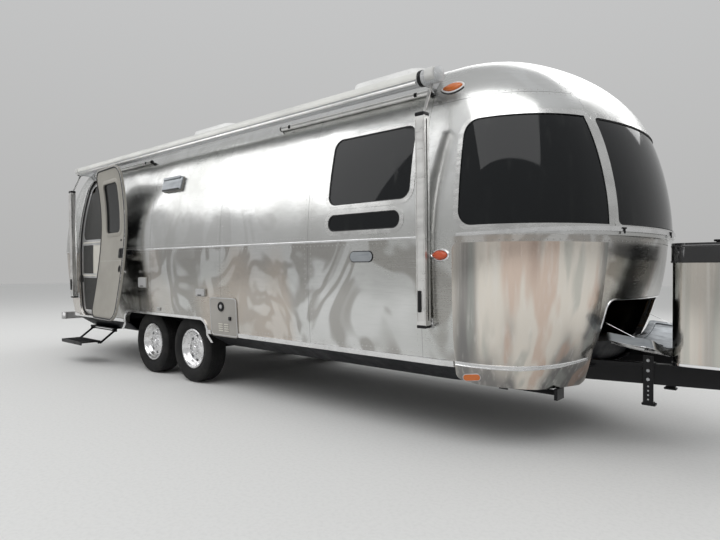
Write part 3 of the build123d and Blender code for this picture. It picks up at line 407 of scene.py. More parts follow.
def tyreRubber(name, centreX):    # tread and sidewall rings follow the wheel's own centre
    f = Finish(name, (0.008, 0.008, 0.0085), 0.75, Specular_IOR_Level=0.3)
    x, y, z = f.axes(f.place(centre=(centreX, 0, 0.368)))
    reach = (x * x + z * z).of("SQRT")
    angle = x.maths("ARCTAN2", z, x)
    across = abs(abs(y) - 1.04)
    onTread = f.between(reach, 0.352, 0.358)
    groove = abs((across * 26).of("FRACT") - 0.5)
    slant = angle * 11.4592 + across * 9
    sipe = abs(slant.of("FRACT") - 0.5)
    block = f.between(groove, 0.05, 0.12) * f.between(sipe, 0.05, 0.12)
    rings = (reach * 900).of("SINE") * f.between(reach, 0.33, 0.345, 1, 0)
    letters = f.noise(60, 2, 0.5)
    height = block * onTread * 4 + rings * 0.12 + letters * 0.08
    dust = f.noise(9, 5, 0.65)
    tint = f.mix(f.between(dust, 0.4, 0.8, 0, 0.7), (0.007, 0.007, 0.0075), (0.026, 0.025, 0.023))
    # painted shade: the grooves between the tread blocks are darker
    tint = f.mix((1 - block) * onTread * 0.7, tint, (0.003, 0.003, 0.003))
    return f.set(Base_Color=tint, Normal=f.bump(height, 0.0016, 0.8))


def wheelAlloy(name, centreX):    # machined face with fine rings, darker and browner in random dusty patches
    f = Finish(name, (0.8, 0.8, 0.81), 0.18, 1.0)
    x, y, z = f.axes(f.place(centre=(centreX, 0, 0.368)))
    reach = (x * x + z * z).of("SQRT")
    turned = (reach * 2600).of("SINE")
    dust = f.noise(14, 4, 0.6)
    tint = f.mix(f.between(dust, 0.45, 0.8, 0, 0.7), (0.82, 0.82, 0.83), (0.45, 0.43, 0.40))
    return f.set(Base_Color=tint, Roughness=f.between(dust, 0.3, 0.7, 0.14, 0.34),
                 Normal=f.bump(turned, 0.0002, 0.3))


def weave(name, colour, scale=380, shade=0.75):
    f = Finish(name, colour, 0.85, 0.0, Sheen_Weight=0.3)
    x, y, z = f.axes()
    over = (x * scale).of("SINE") * (z * scale + y * scale).of("SINE")
    blotch = f.noise(6, 4, 0.6)
    tint = f.mix(f.between(over, -1, 1), tuple(c * shade for c in colour), colour)
    tint = f.mix(f.between(blotch, 0.4, 0.75, 0, 0.4), tint, tuple(c * 0.7 for c in colour))
    return f.set(Base_Color=tint, Normal=f.bump(over, 0.0006, 0.6))


def grainWood(name, colour):
    f = Finish(name, colour, 0.4)
    rings = f.noise(6, 5, 0.6, stretch=(0.15, 1, 6))
    pores = f.noise(180, 3, 0.6, stretch=(0.05, 1, 1))
    tint = f.mix(f.between(rings, 0.35, 0.65), colour, tuple(c * 0.55 for c in colour))
    return f.set(Base_Color=tint, Roughness=f.between(pores, 0.3, 0.7, 0.35, 0.55),
                 Normal=f.bump(pores, 0.0004, 0.5))


def meshScreen():
    f = Finish("meshScreen", (0.05, 0.05, 0.052), 0.6)
    x, y, z = f.axes()
    threadX = abs((x * 420).of("FRACT") - 0.5) < 0.16
    threadZ = abs((z * 420).of("FRACT") - 0.5) < 0.16
    thread = threadX.most(threadZ)
    tint = f.mix(thread, (0.008, 0.008, 0.008), (0.045, 0.046, 0.044))
    return f.set(Base_Color=tint, Alpha=f.between(thread, 0, 1, 0.72, 1, smooth=False))


finishes = {
    "skin": polishedSkin(),
    "steelReflections": reflectionPaintedSteel(),
    "trim": trimMetal(),
    "dullTrim": trimMetal("dullTrim", (0.58, 0.58, 0.58), 0.38),
    "zinc": trimMetal("zinc", (0.52, 0.53, 0.54), 0.42),
    "chrome": trimMetal("chrome", (0.86, 0.86, 0.87), 0.07),
    "glass": darkGlass(),
    "black": paint("blackPaint", (0.004, 0.004, 0.005), 0.34),
    "frame": trimMetal("frameMetal", (0.66, 0.66, 0.65), 0.22),
    "rivet": trimMetal("rivetMetal", (0.50, 0.50, 0.49), 0.3),
    "ivory": plastic("ivoryPlastic", (0.62, 0.60, 0.54), 0.45),
    "heaterGrey": plastic("heaterGrey", (0.34, 0.325, 0.30), 0.42, 0.1),
    "lidInner": trimMetal("lidInner", (0.36, 0.38, 0.40), 0.45),
    "awningCover": plastic("awningCover", (0.66, 0.66, 0.63), 0.34, 0.2),
    "awningHead": plastic("awningHead", (0.60, 0.60, 0.585), 0.4, 0.1),
    "piping": weave("cushionPiping", (0.20, 0.18, 0.155), 1500),
    "pan": paint("panBlack", (0.006, 0.0065, 0.009), 0.45),
    "grey": plastic("greyPlastic", (0.42, 0.42, 0.42), 0.5),
    "white": plastic("whitePlastic", (0.80, 0.80, 0.79), 0.42, 0.1),
    "awningAlu": trimMetal("awningAlu", (0.74, 0.735, 0.72), 0.33),
    "rubber": plastic("blackRubber", (0.02, 0.02, 0.021), 0.7),
    "glossBlack": plastic("glossBlack", (0.012, 0.012, 0.013), 0.16, 0.6),
    "doorShell": plastic("doorShell", (0.31, 0.295, 0.262), 0.5, 0.05),
    "amber": lensPlastic("amberLens", (0.70, 0.16, 0.010)),
    "red": lensPlastic("redLens", (0.60, 0.015, 0.012)),
    "amberRed": lensPlastic("amberRedLens", (0.62, 0.075, 0.010)),
    "cloth": weave("awningCloth", (0.62, 0.63, 0.64)),
    "cushion": weave("cushionCloth", (0.34, 0.31, 0.27), 900),
    "wood": grainWood("cabinetWood", (0.30, 0.19, 0.11)),
    "floor": grainWood("floorWood", (0.34, 0.25, 0.17)),
    "screen": meshScreen(),
    "bottle": paint("bottlePaint", (0.75, 0.75, 0.73), 0.3),
    "carpet": weave("hatchCarpet", (0.16, 0.16, 0.165), 1400, 0.5),
}
for end, station in (("front", 0.432), ("rear", -0.432)):
    finishes["tyre_" + end] = tyreRubber("tyre_" + end, station + axles)
    finishes["rim_" + end] = wheelAlloy("rim_" + end, station + axles)
print("materials:", len(finishes))


def only(piece):                  # select this piece and nothing else
    bpy.ops.object.select_all(action="DESELECT")
    piece.select_set(True)
    bpy.context.view_layer.objects.active = piece


def applied(piece, place=None):   # stands a piece at a place, and makes that its own shape
    if place is not None:
        piece.matrix_world = place
    only(piece)
    bpy.ops.object.transform_apply(location=True, rotation=True, scale=True)
    return piece


def settle(piece, name, finish, rides="caravan", angle=35):
    applied(piece)
    piece.name = name
    piece.data.name = name
    piece.data.materials.clear()
    piece.data.materials.append(finishes[finish])
    bpy.ops.object.shade_smooth_by_angle(angle=math.radians(angle))
    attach(piece, rides)
    return piece


def modifier(piece, kind, **settings):
    only(piece)
    added = piece.modifiers.new(kind, kind)
    for key, value in settings.items():
        setattr(added, key, value)
    bpy.ops.object.modifier_apply(modifier=added.name)


def soften(piece, width, segments=2, angle=50):
    if width:
        modifier(piece, "BEVEL", width=width, segments=segments, limit_method="ANGLE",
                 angle_limit=math.radians(angle))
    return piece


def block(low, high, bevel, segments=2):      # box between two corners, x ahead of the axles
    low, high = Vector(low), Vector(high)
    bpy.ops.object.select_all(action="DESELECT")
    middle = (low + high) / 2 + Vector((axles, 0, 0))
    bpy.ops.mesh.primitive_cube_add(size=1, location=middle, scale=high - low)
    return soften(applied(bpy.context.object), min(bevel, min(high - low) * 0.45), segments, 30)


def bar(start, end, radius, sides=24, bevel=0.0):
    run = end - start
    bpy.ops.object.select_all(action="DESELECT")
    bpy.ops.mesh.primitive_cylinder_add(vertices=sides, radius=radius, depth=run.length,
                                        location=(start + end) / 2,
                                        rotation=run.to_track_quat("Z", "Y").to_euler())
    return soften(applied(bpy.context.object), bevel)


def joined(parts):
    bpy.ops.object.select_all(action="DESELECT")
    for part in parts:
        part.select_set(True)
    bpy.context.view_layer.objects.active = parts[0]
    if len(parts) > 1:
        bpy.ops.object.join()
    return parts[0]


def fromFaces(points, faces):
    mesh = bpy.data.meshes.new("made")
    mesh.from_pydata([tuple(p) for p in points], [], faces)
    mesh.validate()
    piece = bpy.data.objects.new("made", mesh)
    bpy.context.scene.collection.objects.link(piece)
    return piece


def read(items, key, width=3, kind=float):    # one property of all items of a mesh, as rows
    values = np.zeros(len(items) * width, kind)
    items.foreach_get(key, values)
    return values.reshape(-1, width) if width > 1 else values


def scatter(unit, places):        # many copies of one small shape as a single mesh
    points = read(unit.data.vertices, "co")
    base = np.column_stack([points, np.ones(len(points))])
    faces = [tuple(p.vertices) for p in unit.data.polygons]
    spread = np.concatenate([(base @ np.array(place).T)[:, :3] for place in places])
    allFaces = [tuple(v + index * len(points) for v in face)
                for index in range(len(places)) for face in faces]
    bpy.data.objects.remove(unit, do_unlink=True)
    return fromFaces(spread, allFaces)


def facing(point, normal):        # matrix that stands a shape on a surface
    return Matrix.Translation(point) @ Vector(normal).to_track_quat("Z", "Y").to_matrix().to_4x4()


def polishNormals(mesh):          # faces on the body's curve take its exact normals, so reflections run clean
    corners = read(mesh.loops, "vertex_index", 1, int)
    owner = np.repeat(np.arange(len(mesh.polygons)), read(mesh.polygons, "loop_total", 1, int))
    exact = skinNormals(read(mesh.vertices, "co"))[corners]
    match = np.einsum("ij,ij->i", exact, read(mesh.polygons, "normal")[owner])[:, None]
    normals = np.where(match > 0.9, exact, read(mesh.corner_normals, "vector"))
    normals = np.where(match < -0.9, -exact, normals)
    mesh.normals_split_custom_set(normals.tolist())


def cadCopy(node, finish, rides="caravan", onSkin=False):
    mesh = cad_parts[node].data.copy()
    piece = bpy.data.objects.new(node + "_skin", mesh)
    bpy.context.scene.collection.objects.link(piece)
    edit = bmesh.new()
    edit.from_mesh(mesh)
    bmesh.ops.remove_doubles(edit, verts=edit.verts, dist=0.00002)
    edit.to_mesh(mesh)
    edit.free()
    settle(piece, piece.name, finish, rides, 30)
    if onSkin:
        polishNormals(mesh)
    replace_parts(piece, node)


# What each node shows as: those of the body's shell lie on its curve and take its exact normals
shellNodes = {
    "skin": ["side_wall_right", "side_wall_left", "roof_panel", "front_cap_upper", "front_cap_lower",
             "rear_cap_upper", "rear_cap_lower"],
    "steelReflections": ["stone_guards"], "glass": ["front_windows", "cabin_windows"],
    "heaterGrey": ["service_doors"], "trim": ["wheel_arch_trims"],
    "frame": ["window_frames", "front_window_frame"],
}
fixedNodes = {
    "awningAlu": ["awning_arms", "window_awnings"], "cloth": ["awning_roller"], "white": ["roof_units"],
    "dullTrim": ["rear_bumper", "door_hinges", "hatch_hinges"], "pan": ["belly_pan"], "floor": ["floor_deck"],
    "black": ["axles", "coupler", "jack_housing", "chassis_frame", "step_frame", "hitch_brackets"],
    "steelReflections": ["gas_cover"], "bottle": ["gas_bottles"], "trim": ["body_mouldings"],
    "wood": ["lounge_base", "galley_block", "bath_wall"],
}
movingNodes = [
    ("jack_leg", "zinc", "jack_foot"), ("step_arms", "black", "step_link"), ("step_tread", "black", "step"),
    ("gas_lid", "glossBlack", "gas_cover_lid"), ("main_door", "doorShell", "entry_door"),
    ("door_glass", "glass", "entry_door"), ("door_handle", "chrome", "entry_door"),
    ("screen_door", "dullTrim", "screen"), ("front_hatch", "skin", "hatch_lid"),
]
for table, onSkin in ((shellNodes, True), (fixedNodes, False)):
    for finish, names in table.items():
        for name in names:
            cadCopy(name, finish, onSkin=onSkin)
for end in ("front", "rear"):
    for hand in ("right", "left"):
        movingNodes.append((f"tyre_{end}_{hand}", "tyre_" + end, f"wheel_{end}_{hand}"))
        movingNodes.append((f"rim_{end}_{hand}", "rim_" + end, f"wheel_{end}_{hand}"))
        movingNodes.append((f"stabiliser_{end}_{hand}", "black", f"stabiliser_{end}_{hand}_leg"))
for name, finish, rides in movingNodes:
    cadCopy(name, finish, rides)
print("nodes dressed")


# Shapes that follow the skin
def roundLoop(corners, radius, steps=6):      # closed outline with rounded corners, from its corner points
    loop = []
    for index, corner in enumerate(corners):
        before, here, after = [Vector(corners[(index + k) % len(corners)]) for k in (-1, 0, 1)]
        back, ahead = (before - here).normalized(), (after - here).normalized()
        half = back.angle(ahead) / 2
        run = radius / math.tan(half)
        middle = here + (back + ahead).normalized() * (radius / math.sin(half))
        start, end = here + back * run - middle, here + ahead * run - middle
        sweep = start.angle_signed(end)
        for step in range(steps + 1):
            angle = -sweep * step / steps
            turned = (start.x * math.cos(angle) - start.y * math.sin(angle),
                      start.x * math.sin(angle) + start.y * math.cos(angle))
            loop.append((middle.x + turned[0], middle.y + turned[1]))
    return loop


def boxLoop(box, grow=0.0, pitch=0.05, steps=6):      # outline of (rear, front, low, high, radius), grown
    a, b, c, d, radius = box[0] - grow, box[1] + grow, box[2] - grow, box[3] + grow, box[4] + grow
    return dense(roundLoop([(a, c), (b, c), (b, d), (a, d)], radius, steps), pitch)


def dense(loop, pitch=0.05, around=True):     # more points along the straight runs
    out = []
    for index in range(len(loop) if around else len(loop) - 1):
        a, b = Vector(loop[index]), Vector(loop[(index + 1) % len(loop)])
        parts = max(1, int((b - a).length / pitch))
        out += [tuple(a.lerp(b, k / parts)) for k in range(parts)]
    return out if around else out + [tuple(loop[-1])]


def onSide(loop, hand=-1, proud=0.0):
    return [sidePoint(x, z, hand, proud) for x, z in loop]


def onEnd(loop, way=1, proud=0.0):
    return [endPoint(y, z, way, proud) for y, z in loop]


def outlineAt(z, way=1, hand=-1, pitch=0.02): # points and normals along the plan, from the cap's seam on
    width, bow, corner, cornerY, reach, bowX = planShape(z, way)
    seam = body["frontSeam"] if way > 0 else -body["rearSeam"]
    turn = math.atan2(cornerY, reach)
    ahead = bowX + reach
    trace = [(x, width) for x in np.arange(seam, ahead, 0.01)]
    for angle in np.linspace(0, math.pi / 2 - turn, 80):
        trace.append((ahead + corner * math.sin(angle), cornerY + corner * math.cos(angle)))
    for angle in np.linspace(turn, 0, 80):
        trace.append((bowX + bow * math.cos(angle), bow * math.sin(angle)))
    trace = np.array(trace)
    length = np.concatenate([[0], np.cumsum(np.linalg.norm(np.diff(trace, axis=0), axis=1))])
    at = np.arange(0, length[-1], pitch)
    x, y = np.interp(at, length, trace[:, 0]), np.interp(at, length, trace[:, 1])
    points = np.stack([way * x + axles, hand * y, np.full(len(x), z)], 1)
    return [(Vector(p), Vector(n)) for p, n in zip(points, skinNormals(points))]


def levelPath(loop, z):           # a level loop of plan points, with normals outwards
    path = []
    for index, (x, y) in enumerate(loop):
        ahead = Vector(loop[(index + 1) % len(loop)]) - Vector(loop[index - 1])
        path.append((Vector((x, y, z)), Vector((ahead.y, -ahead.x, 0)).normalized()))
    return path


def ringFaces(count, rings):      # faces between closed rings of points, each ring after the one before
    turn = [(k, (k + 1) % count) for k in range(count)]
    return [(r * count + a, r * count + b, (r + 1) * count + b, (r + 1) * count + a)
            for r in range(rings - 1) for a, b in turn]


def strip(path, profile, closed=False):       # sweeps a profile of (across, out) along points on the skin
    points = np.array([tuple(p) for p, n in path])
    normals = np.array([tuple(n) for p, n in path])
    ahead = np.roll(points, -1, 0) - np.roll(points, 1, 0)
    if not closed:
        ahead[0], ahead[-1] = points[1] - points[0], points[-1] - points[-2]
    across = np.cross(ahead, normals)
    across /= np.linalg.norm(across, axis=1)[:, None]
    rings = np.stack([points + across * u + normals * v for u, v in profile], 1)
    size, count = len(profile), len(points)
    faces = []
    for i in range(count if closed else count - 1):
        nxt = (i + 1) % count
        faces += [(i * size + j, nxt * size + j, nxt * size + (j + 1) % size, i * size + (j + 1) % size)
                  for j in range(size)]
    if not closed:
        faces += [tuple(range(size)), tuple(range((count - 1) * size, count * size))]
    return fromFaces(rings.reshape(-1, 3), faces)


def flatBar(half, rise, edge=0.001):          # profile of a flat strip with softened edges
    return [(-half, -0.002), (-half, rise - edge), (-half + edge, rise), (half - edge, rise),
            (half, rise - edge), (half, -0.002)]


def roundBar(half, rise, steps=6):            # profile of a half-round strip
    arc = [(half * math.cos(a), rise * math.sin(a)) for a in np.linspace(math.pi, 0, steps)]
    return [(-half, -0.002)] + arc + [(half, -0.002)]


def sheetPatch(x, z, hand=-1, proud=0.0, columns=8, rows=12):  # thin sheet over a stretch of the side wall
    points = [sidePoint(a, b, hand, proud)[0] for b in np.linspace(z[0], z[1], rows + 1)
              for a in np.linspace(x[0], x[1], columns + 1)]
    faces = []
    for row in range(rows):
        for column in range(columns):
            first = row * (columns + 1) + column
            faces.append((first, first + 1, first + columns + 2, first + columns + 1))
    return fromFaces(points, faces)


def onWall(x, z, hand=-1, proud=0.0):         # matrix with X along the body, Y up and Z out of the side wall
    point, normal = sidePoint(x, z, hand, proud)
    along = (Vector((-hand, 0, 0)) - normal * normal.x * -hand).normalized()
    turn = Matrix((along, normal.cross(along), normal)).transposed().to_4x4()
    return Matrix.Translation(point) @ turn


def onNose(y, z, way=1, proud=0.0):           # the same on the front or the rear cap, X across the body
    point, normal = endPoint(y, z, way, proud)
    up = (Vector((0, 0, 1)) - normal * normal.z).normalized()
    turn = Matrix((up.cross(normal), up, normal)).transposed().to_4x4()
    return Matrix.Translation(point) @ turn



def shift(x, y, z):               # matrix that moves a shape
    return Matrix.Translation((x, y, z))


def spot(x, y=0.0, z=0.0):        # the same from the origin, x ahead of the axles
    return shift(x + axles, y, z)


def slab(size, radius, place, soft=0.001, segments=4, centre=(0, 0, 0)):      # plate with rounded corners
    bpy.ops.object.select_all(action="DESELECT")
    bpy.ops.mesh.primitive_cube_add(size=1, location=centre, scale=size)
    piece = applied(bpy.context.object)
    bpy.ops.object.mode_set(mode="EDIT")
    bpy.ops.mesh.select_mode(type="EDGE")
    bpy.ops.mesh.select_all(action="DESELECT")
    edit = bmesh.from_edit_mesh(piece.data)
    for edge in edit.edges:
        edge.select_set(abs(edge.verts[0].co.z - edge.verts[1].co.z) > size[2] * 0.5)
    bmesh.update_edit_mesh(piece.data)
    bpy.ops.mesh.bevel(offset=min(radius, min(size[:2]) * 0.49), segments=segments)
    bpy.ops.mesh.select_mode(type="VERT")
    bpy.ops.object.mode_set(mode="OBJECT")
    return applied(soften(piece, soft, 1, 60), place)


def plate(size, radius, place, soft=0.001, segments=4, base=0.0):     # slab whose back lies on its place
    return slab(size, radius, place, soft, segments, (0, 0, base + size[2] / 2))


def disc(radius, depth, place, sides=24, soft=0.001, height=0.0):
    bpy.ops.object.select_all(action="DESELECT")
    bpy.ops.mesh.primitive_cylinder_add(vertices=sides, radius=radius, depth=depth,
                                        location=(0, 0, height + depth / 2))
    return applied(soften(applied(bpy.context.object), soft), place)


def ring(radius, thickness, place, height=0.0, sides=28):
    bpy.ops.object.select_all(action="DESELECT")
    bpy.ops.mesh.primitive_torus_add(major_radius=radius, minor_radius=thickness, major_segments=sides,
                                     minor_segments=8)
    return applied(bpy.context.object, place @ shift(0, 0, height))


def dome(radius, rise, place, sides=16, rings=8):
    bpy.ops.object.select_all(action="DESELECT")
    bpy.ops.mesh.primitive_uv_sphere_add(segments=sides, ring_count=rings, radius=radius)
    piece = bpy.context.object
    bpy.ops.object.mode_set(mode="EDIT")
    bpy.ops.mesh.select_all(action="SELECT")
    bpy.ops.mesh.bisect(plane_co=(0, 0, 0), plane_no=(0, 0, 1), clear_inner=True, use_fill=True)
    bpy.ops.mesh.select_all(action="SELECT")
    bpy.ops.transform.resize(value=(1, 1, rise / radius), center_override=(0, 0, 0))
    bpy.ops.object.mode_set(mode="OBJECT")
    return applied(piece, place)


def closed(piece):                # doubles merged and faces turned outwards
    only(piece)
    bpy.ops.object.mode_set(mode="EDIT")
    bpy.ops.mesh.select_all(action="SELECT")
    bpy.ops.mesh.remove_doubles(threshold=0.00002)
    bpy.ops.mesh.normals_make_consistent(inside=False)
    bpy.ops.object.mode_set(mode="OBJECT")
    return piece


def bead(start, end, profile, proud, pitch=0.1, hand=-1):     # straight strip between two points of the side
    return strip(onSide(dense([start, end], pitch, False), hand, proud), profile)


def refinish(piece, finish, test):            # gives the faces that pass a test a second finish
    piece.data.materials.append(finishes[finish])
    slot = len(piece.data.materials) - 1
    for face in piece.data.polygons:
        if test(face.center, face.normal):
            face.material_index = slot


hands = ((-1, "Right"), (1, "Left"))
turnX = Matrix.Rotation(math.pi / 2, 4, "Y")      # stands a shape's Z along the body

# Rivets along the laps of the sheets, none in the bays that open
rivets = {
    "radius": 0.0045, "rise": 0.0018, "pitch": 0.042, "proud": -0.0002,
    "heights": (0.66, 2.58), "run": (-2.33, 3.55),
    "columns": [3.530, 2.455, 2.385, 1.195, 1.125, -0.185, -0.255, -1.300, -2.330],
    "rows": [0.655, 1.437, 1.505, 2.455, 2.590],
    "frontRows": (1.437, 1.505, 2.445, 2.418), "rearRows": (0.655, 1.437, 1.505, 2.445),
}
openBays = [(-1, 2.60, 3.51, 1.70, 2.37), (-1, 2.61, 3.43, 1.50, 1.73), (1, 2.60, 3.51, 1.70, 2.37),
            (1, 2.61, 3.43, 1.50, 1.73), (1, 0.31, 1.54, 1.71, 2.36), (1, -2.09, -1.21, 1.71, 2.36),
            (-1, -2.25, -1.38, 0.5, 2.53), (-1, 0.96, 1.44, 0.5, 0.98), (-1, -0.95, 0.95, 0.4, 0.78),
            (1, -0.95, 0.95, 0.4, 0.78), (-1, -0.06, 0.40, 2.07, 2.31), (1, 1.76, 2.34, 0.66, 1.09),
            (1, -1.94, -1.46, 0.82, 1.14), (-1, -0.50, -0.27, 1.0, 1.16), (-1, 0.71, 0.93, 0.94, 1.06)]


def onPanel(x, z, hand):
    return not any(side == hand and a < x < b and c < z < d for side, a, b, c, d in openBays)


def pitched(low, high):
    return np.arange(low, high, rivets["pitch"])


def rivetted(name, places):
    unit = dome(rivets["radius"], rivets["rise"], Matrix.Identity(4), 6, 4)
    settle(scatter(unit, places), name, "rivet")


for hand, sideName in hands:
    spots = [(x, z) for x in rivets["columns"] for z in pitched(*rivets["heights"])]
    spots += [(x, z) for z in rivets["rows"] for x in pitched(*rivets["run"])]
    rivetted("rivets" + sideName, [facing(*sidePoint(x, z, hand, rivets["proud"])) for x, z in spots
                                   if onPanel(x, z, hand)])
capSpots = []
for way, edge, rows in ((1, body["frontSeam"] + 0.03, rivets["frontRows"]),
                        (-1, body["rearSeam"] - 0.03, rivets["rearRows"])):
    for hand, sideName in hands:
        for z in rows:
            trace = outlineAt(z, way, hand, rivets["pitch"])
            if way > 0 and z == 1.505:
                trace = trace[:7]
            if way > 0 and z > 2.4:
                trace = [(p, n) for p, n in trace if abs(p.y) > joints["domeHalf"]]
            capSpots += [facing(p + n * rivets["proud"], n) for p, n in trace[1:]]
        capSpots += [facing(*sidePoint(edge, z, hand, rivets["proud"])) for z in pitched(0.66, 2.82)]
for y in [hand * joints["domeHalf"] + shy for hand in (-1, 1) for shy in (0.018, -0.018)]:
    capSpots += [facing(*endPoint(y, z, 1, rivets["proud"])) for z in pitched(2.31, 2.70)]
rivetted("rivetsCaps", capSpots)
print("rivets:", len(capSpots))

# Mouldings that run on round the caps
mouldings = {
    "guardTop": [(3.82, 0.623), (3.92, 0.618), (4.04, 0.612), (4.205, 0.610), (4.345, 0.616), (4.446, 0.632),
                 (4.505, 0.655)],
    "guardBottom": [(3.82, 0.595), (3.92, 0.586), (4.04, 0.580), (4.205, 0.571), (4.38, 0.589),
                    (4.50, 0.635)],
    "guardRun": (3.825, 4.49), "guardProud": 0.0035, "rearHeight": 0.602,
    "belt": 1.4745, "beltRuns": {-1: [(-2.33, -2.23), (-1.335, 3.56)], 1: [(-2.33, 3.56)]},
}


def guardMoulding(hand):          # two beads, and the flat strip between them
    topX, topZ = zip(*mouldings["guardTop"])
    lowX, lowZ = zip(*mouldings["guardBottom"])
    parts = []
    for share, profile in ((0.2, roundBar(0.006, 0.006)), (0.8, roundBar(0.008, 0.006)),
                           (0.5, flatBar(0.014, 0.002, 0.0005))):
        path = []
        for x in np.linspace(*mouldings["guardRun"], 60):
            z = np.interp(x, lowX, lowZ) * (1 - share) + np.interp(x, topX, topZ) * share
            path.append(sidePoint(x, float(z), hand, mouldings["guardProud"]))
        parts.append(strip(path, profile))
    return joined(parts)


for hand, sideName in hands:
    settle(closed(guardMoulding(hand)), "guardMoulding" + sideName, "trim")
    beads = [bead((a, mouldings["belt"]), (b, mouldings["belt"]), roundBar(0.003, 0.0025), 0.005, 0.4, hand)
             for a, b in mouldings["beltRuns"][hand]]
    settle(closed(joined(beads)), "beltBead" + sideName, "chrome")
rearRun = outlineAt(mouldings["rearHeight"], -1, -1, 0.04)
rearRun += [(Vector((p.x, -p.y, p.z)), Vector((n.x, -n.y, n.z))) for p, n in reversed(rearRun)]
settle(closed(strip(rearRun, flatBar(0.020, 0.010, 0.003))), "rearMoulding", "trim")

# Rubber round every pane: hand or way, then the pane's outline
panes = {
    "side": [(-1, 2.640, 3.470, 1.750, 2.320, 0.090), (-1, 2.650, 3.390, 1.540, 1.690, 0.072),
             (1, 2.640, 3.470, 1.750, 2.320, 0.090), (1, 2.650, 3.390, 1.540, 1.690, 0.072),
             (1, 0.350, 1.500, 1.750, 2.320, 0.090), (1, -2.050, -1.250, 1.750, 2.320, 0.090)],
    "ends": [(-1, -0.430, 0.430, 1.640, 2.180, 0.090), (1, -0.722, 0.722, 1.530, 2.270, 0.051)],
    "grow": -0.011, "proud": -0.006,
}
rubber = flatBar(0.0045, 0.0055)
seals = [strip(onSide(boxLoop(box, panes["grow"], 0.08), hand, panes["proud"]), rubber, True)
         for hand, *box in panes["side"]]
seals += [strip(onEnd(boxLoop(box, panes["grow"]), way, panes["proud"]), rubber, True)
          for way, *box in panes["ends"]]
settle(closed(joined(seals)), "windowSeals", "rubber")
print("mouldings and seals")

# Entry door and front hatch are drawn closed, then swung open with their bodies
door = {
    "open": 176, "low": (-1.395, -1.345, 0.600), "high": (-1.395, -1.262, 2.400), "inner": -0.030,
    "leaf": (-2.194, -1.436, 0.611, 2.470, 0.144), "window": (-2.070, -1.630, 1.680, 2.290, 0.060),
    "lock": (-2.115, 1.425), "latch": (-2.128, 1.235), "knob": (-2.098, 1.585),
    "joint": [(-2.182, 1.335), (-1.450, 1.335)],
    "screwColumns": (-2.135, -1.495), "screwRows": [*np.arange(0.70, 1.30, 0.14), 1.40, 1.56],
}
hatch = {
    "low": 0.606, "high": 0.648, "bottom": 0.745, "top": 1.042, "corner": 0.050, "split": 0.80,
    "hinge": (4.600, 0, 0.728), "open": 78, "inner": -0.050, "locks": (-0.36, 0.36), "stays": (-0.585, 0.585),
}


def turnAbout(foot, line, degrees):
    foot = Vector(foot) + Vector((axles, 0, 0))
    turn = Matrix.Rotation(math.radians(degrees), 4, line)
    return Matrix.Translation(foot) @ turn @ Matrix.Translation(-foot)


hingeLine = (Vector(door["high"]) - Vector(door["low"])).normalized()
swings = {"entry_door": turnAbout(door["low"], hingeLine, door["open"]),
          "hatch_lid": turnAbout(hatch["hinge"], "Y", hatch["open"])}
flip = Matrix.Rotation(math.pi, 4, "Y")


def opened(piece, name, finish, rides="entry_door"):      # a piece drawn closed goes out with its body
    piece.matrix_world = swings[rides] @ piece.matrix_world
    settle(piece, name, finish, rides)


def inwards(path):                # the same points, normals turned into the room
    return [(point, -normal) for point, normal in path]


def doorStrip(name, finish, box, grow, pitch, profile, proud=0.0):    # strip on the door's inner face
    path = onSide(boxLoop(door[box], grow, pitch), -1, door["inner"] - proud)
    opened(closed(strip(inwards(path), profile, True)), name, finish)


def innerPlace(x, z):             # matrix with Z into the room, on the door's inner face
    return onWall(x, z, -1, door["inner"]) @ flip


outwards = swings["entry_door"].inverted().to_3x3()
refinish(bpy.data.objects["main_door_skin"], "skin", lambda centre, normal: (outwards @ normal).y < -0.6)
frameProfile = [(-0.030, -0.002), (-0.030, 0.002), (-0.022, 0.007), (0.008, 0.013), (0.016, 0.012),
                (0.019, -0.002)]
doorStrip("doorSeal", "rubber", "leaf", -0.012, 0.06, roundBar(0.009, 0.0068))
doorStrip("doorRim", "trim", "leaf", -0.002, 0.06, flatBar(0.0022, 0.003, 0.0005))
doorStrip("doorWindowFrame", "doorShell", "window", 0.016, 0.05, frameProfile)
doorStrip("doorPaneSeal", "rubber", "window", -0.004, 0.05, flatBar(0.006, 0.009), -0.012)
joint = inwards(onSide(dense(door["joint"], 0.1, False), -1, door["inner"] + 0.0004))
opened(closed(strip(joint, flatBar(0.0012, 0.0008, 0.0003))), "doorPanelJoint", "dullTrim")
x, z = door["lock"]
lockPieces = [plate((0.098, 0.118, 0.0070), 0.012, innerPlace(x, z), 0.002),
              plate((0.056, 0.106, 0.0050), 0.008, innerPlace(x + 0.015, z), 0.0015, base=0.0067),
              disc(0.015, 0.003, innerPlace(x + 0.015, z + 0.026), 20, 0.001, 0.0115),
              plate((0.046, 0.016, 0.002), 0.005, innerPlace(x + 0.015, z - 0.026), 0.0006, base=0.0115)]
opened(joined(lockPieces), "doorLock", "black")
x, z = door["latch"]
pull = [plate((0.044, 0.082, 0.0070), 0.0215, innerPlace(x, z), 0.002, 8),
        plate((0.012, 0.046, 0.0060), 0.005, innerPlace(x + 0.006, z), 0.002, base=0.0065)]
opened(joined(pull), "doorDeadbolt", "black")
opened(disc(0.013, 0.0070, innerPlace(*door["knob"]), 20, 0.002), "doorCatchKnob", "black")
screws = [swings["entry_door"] @ innerPlace(x, z) for x in door["screwColumns"] for z in door["screwRows"]]
settle(scatter(dome(0.0045, 0.002, Matrix.Identity(4), 8, 4), screws), "doorScrews", "dullTrim", "entry_door")

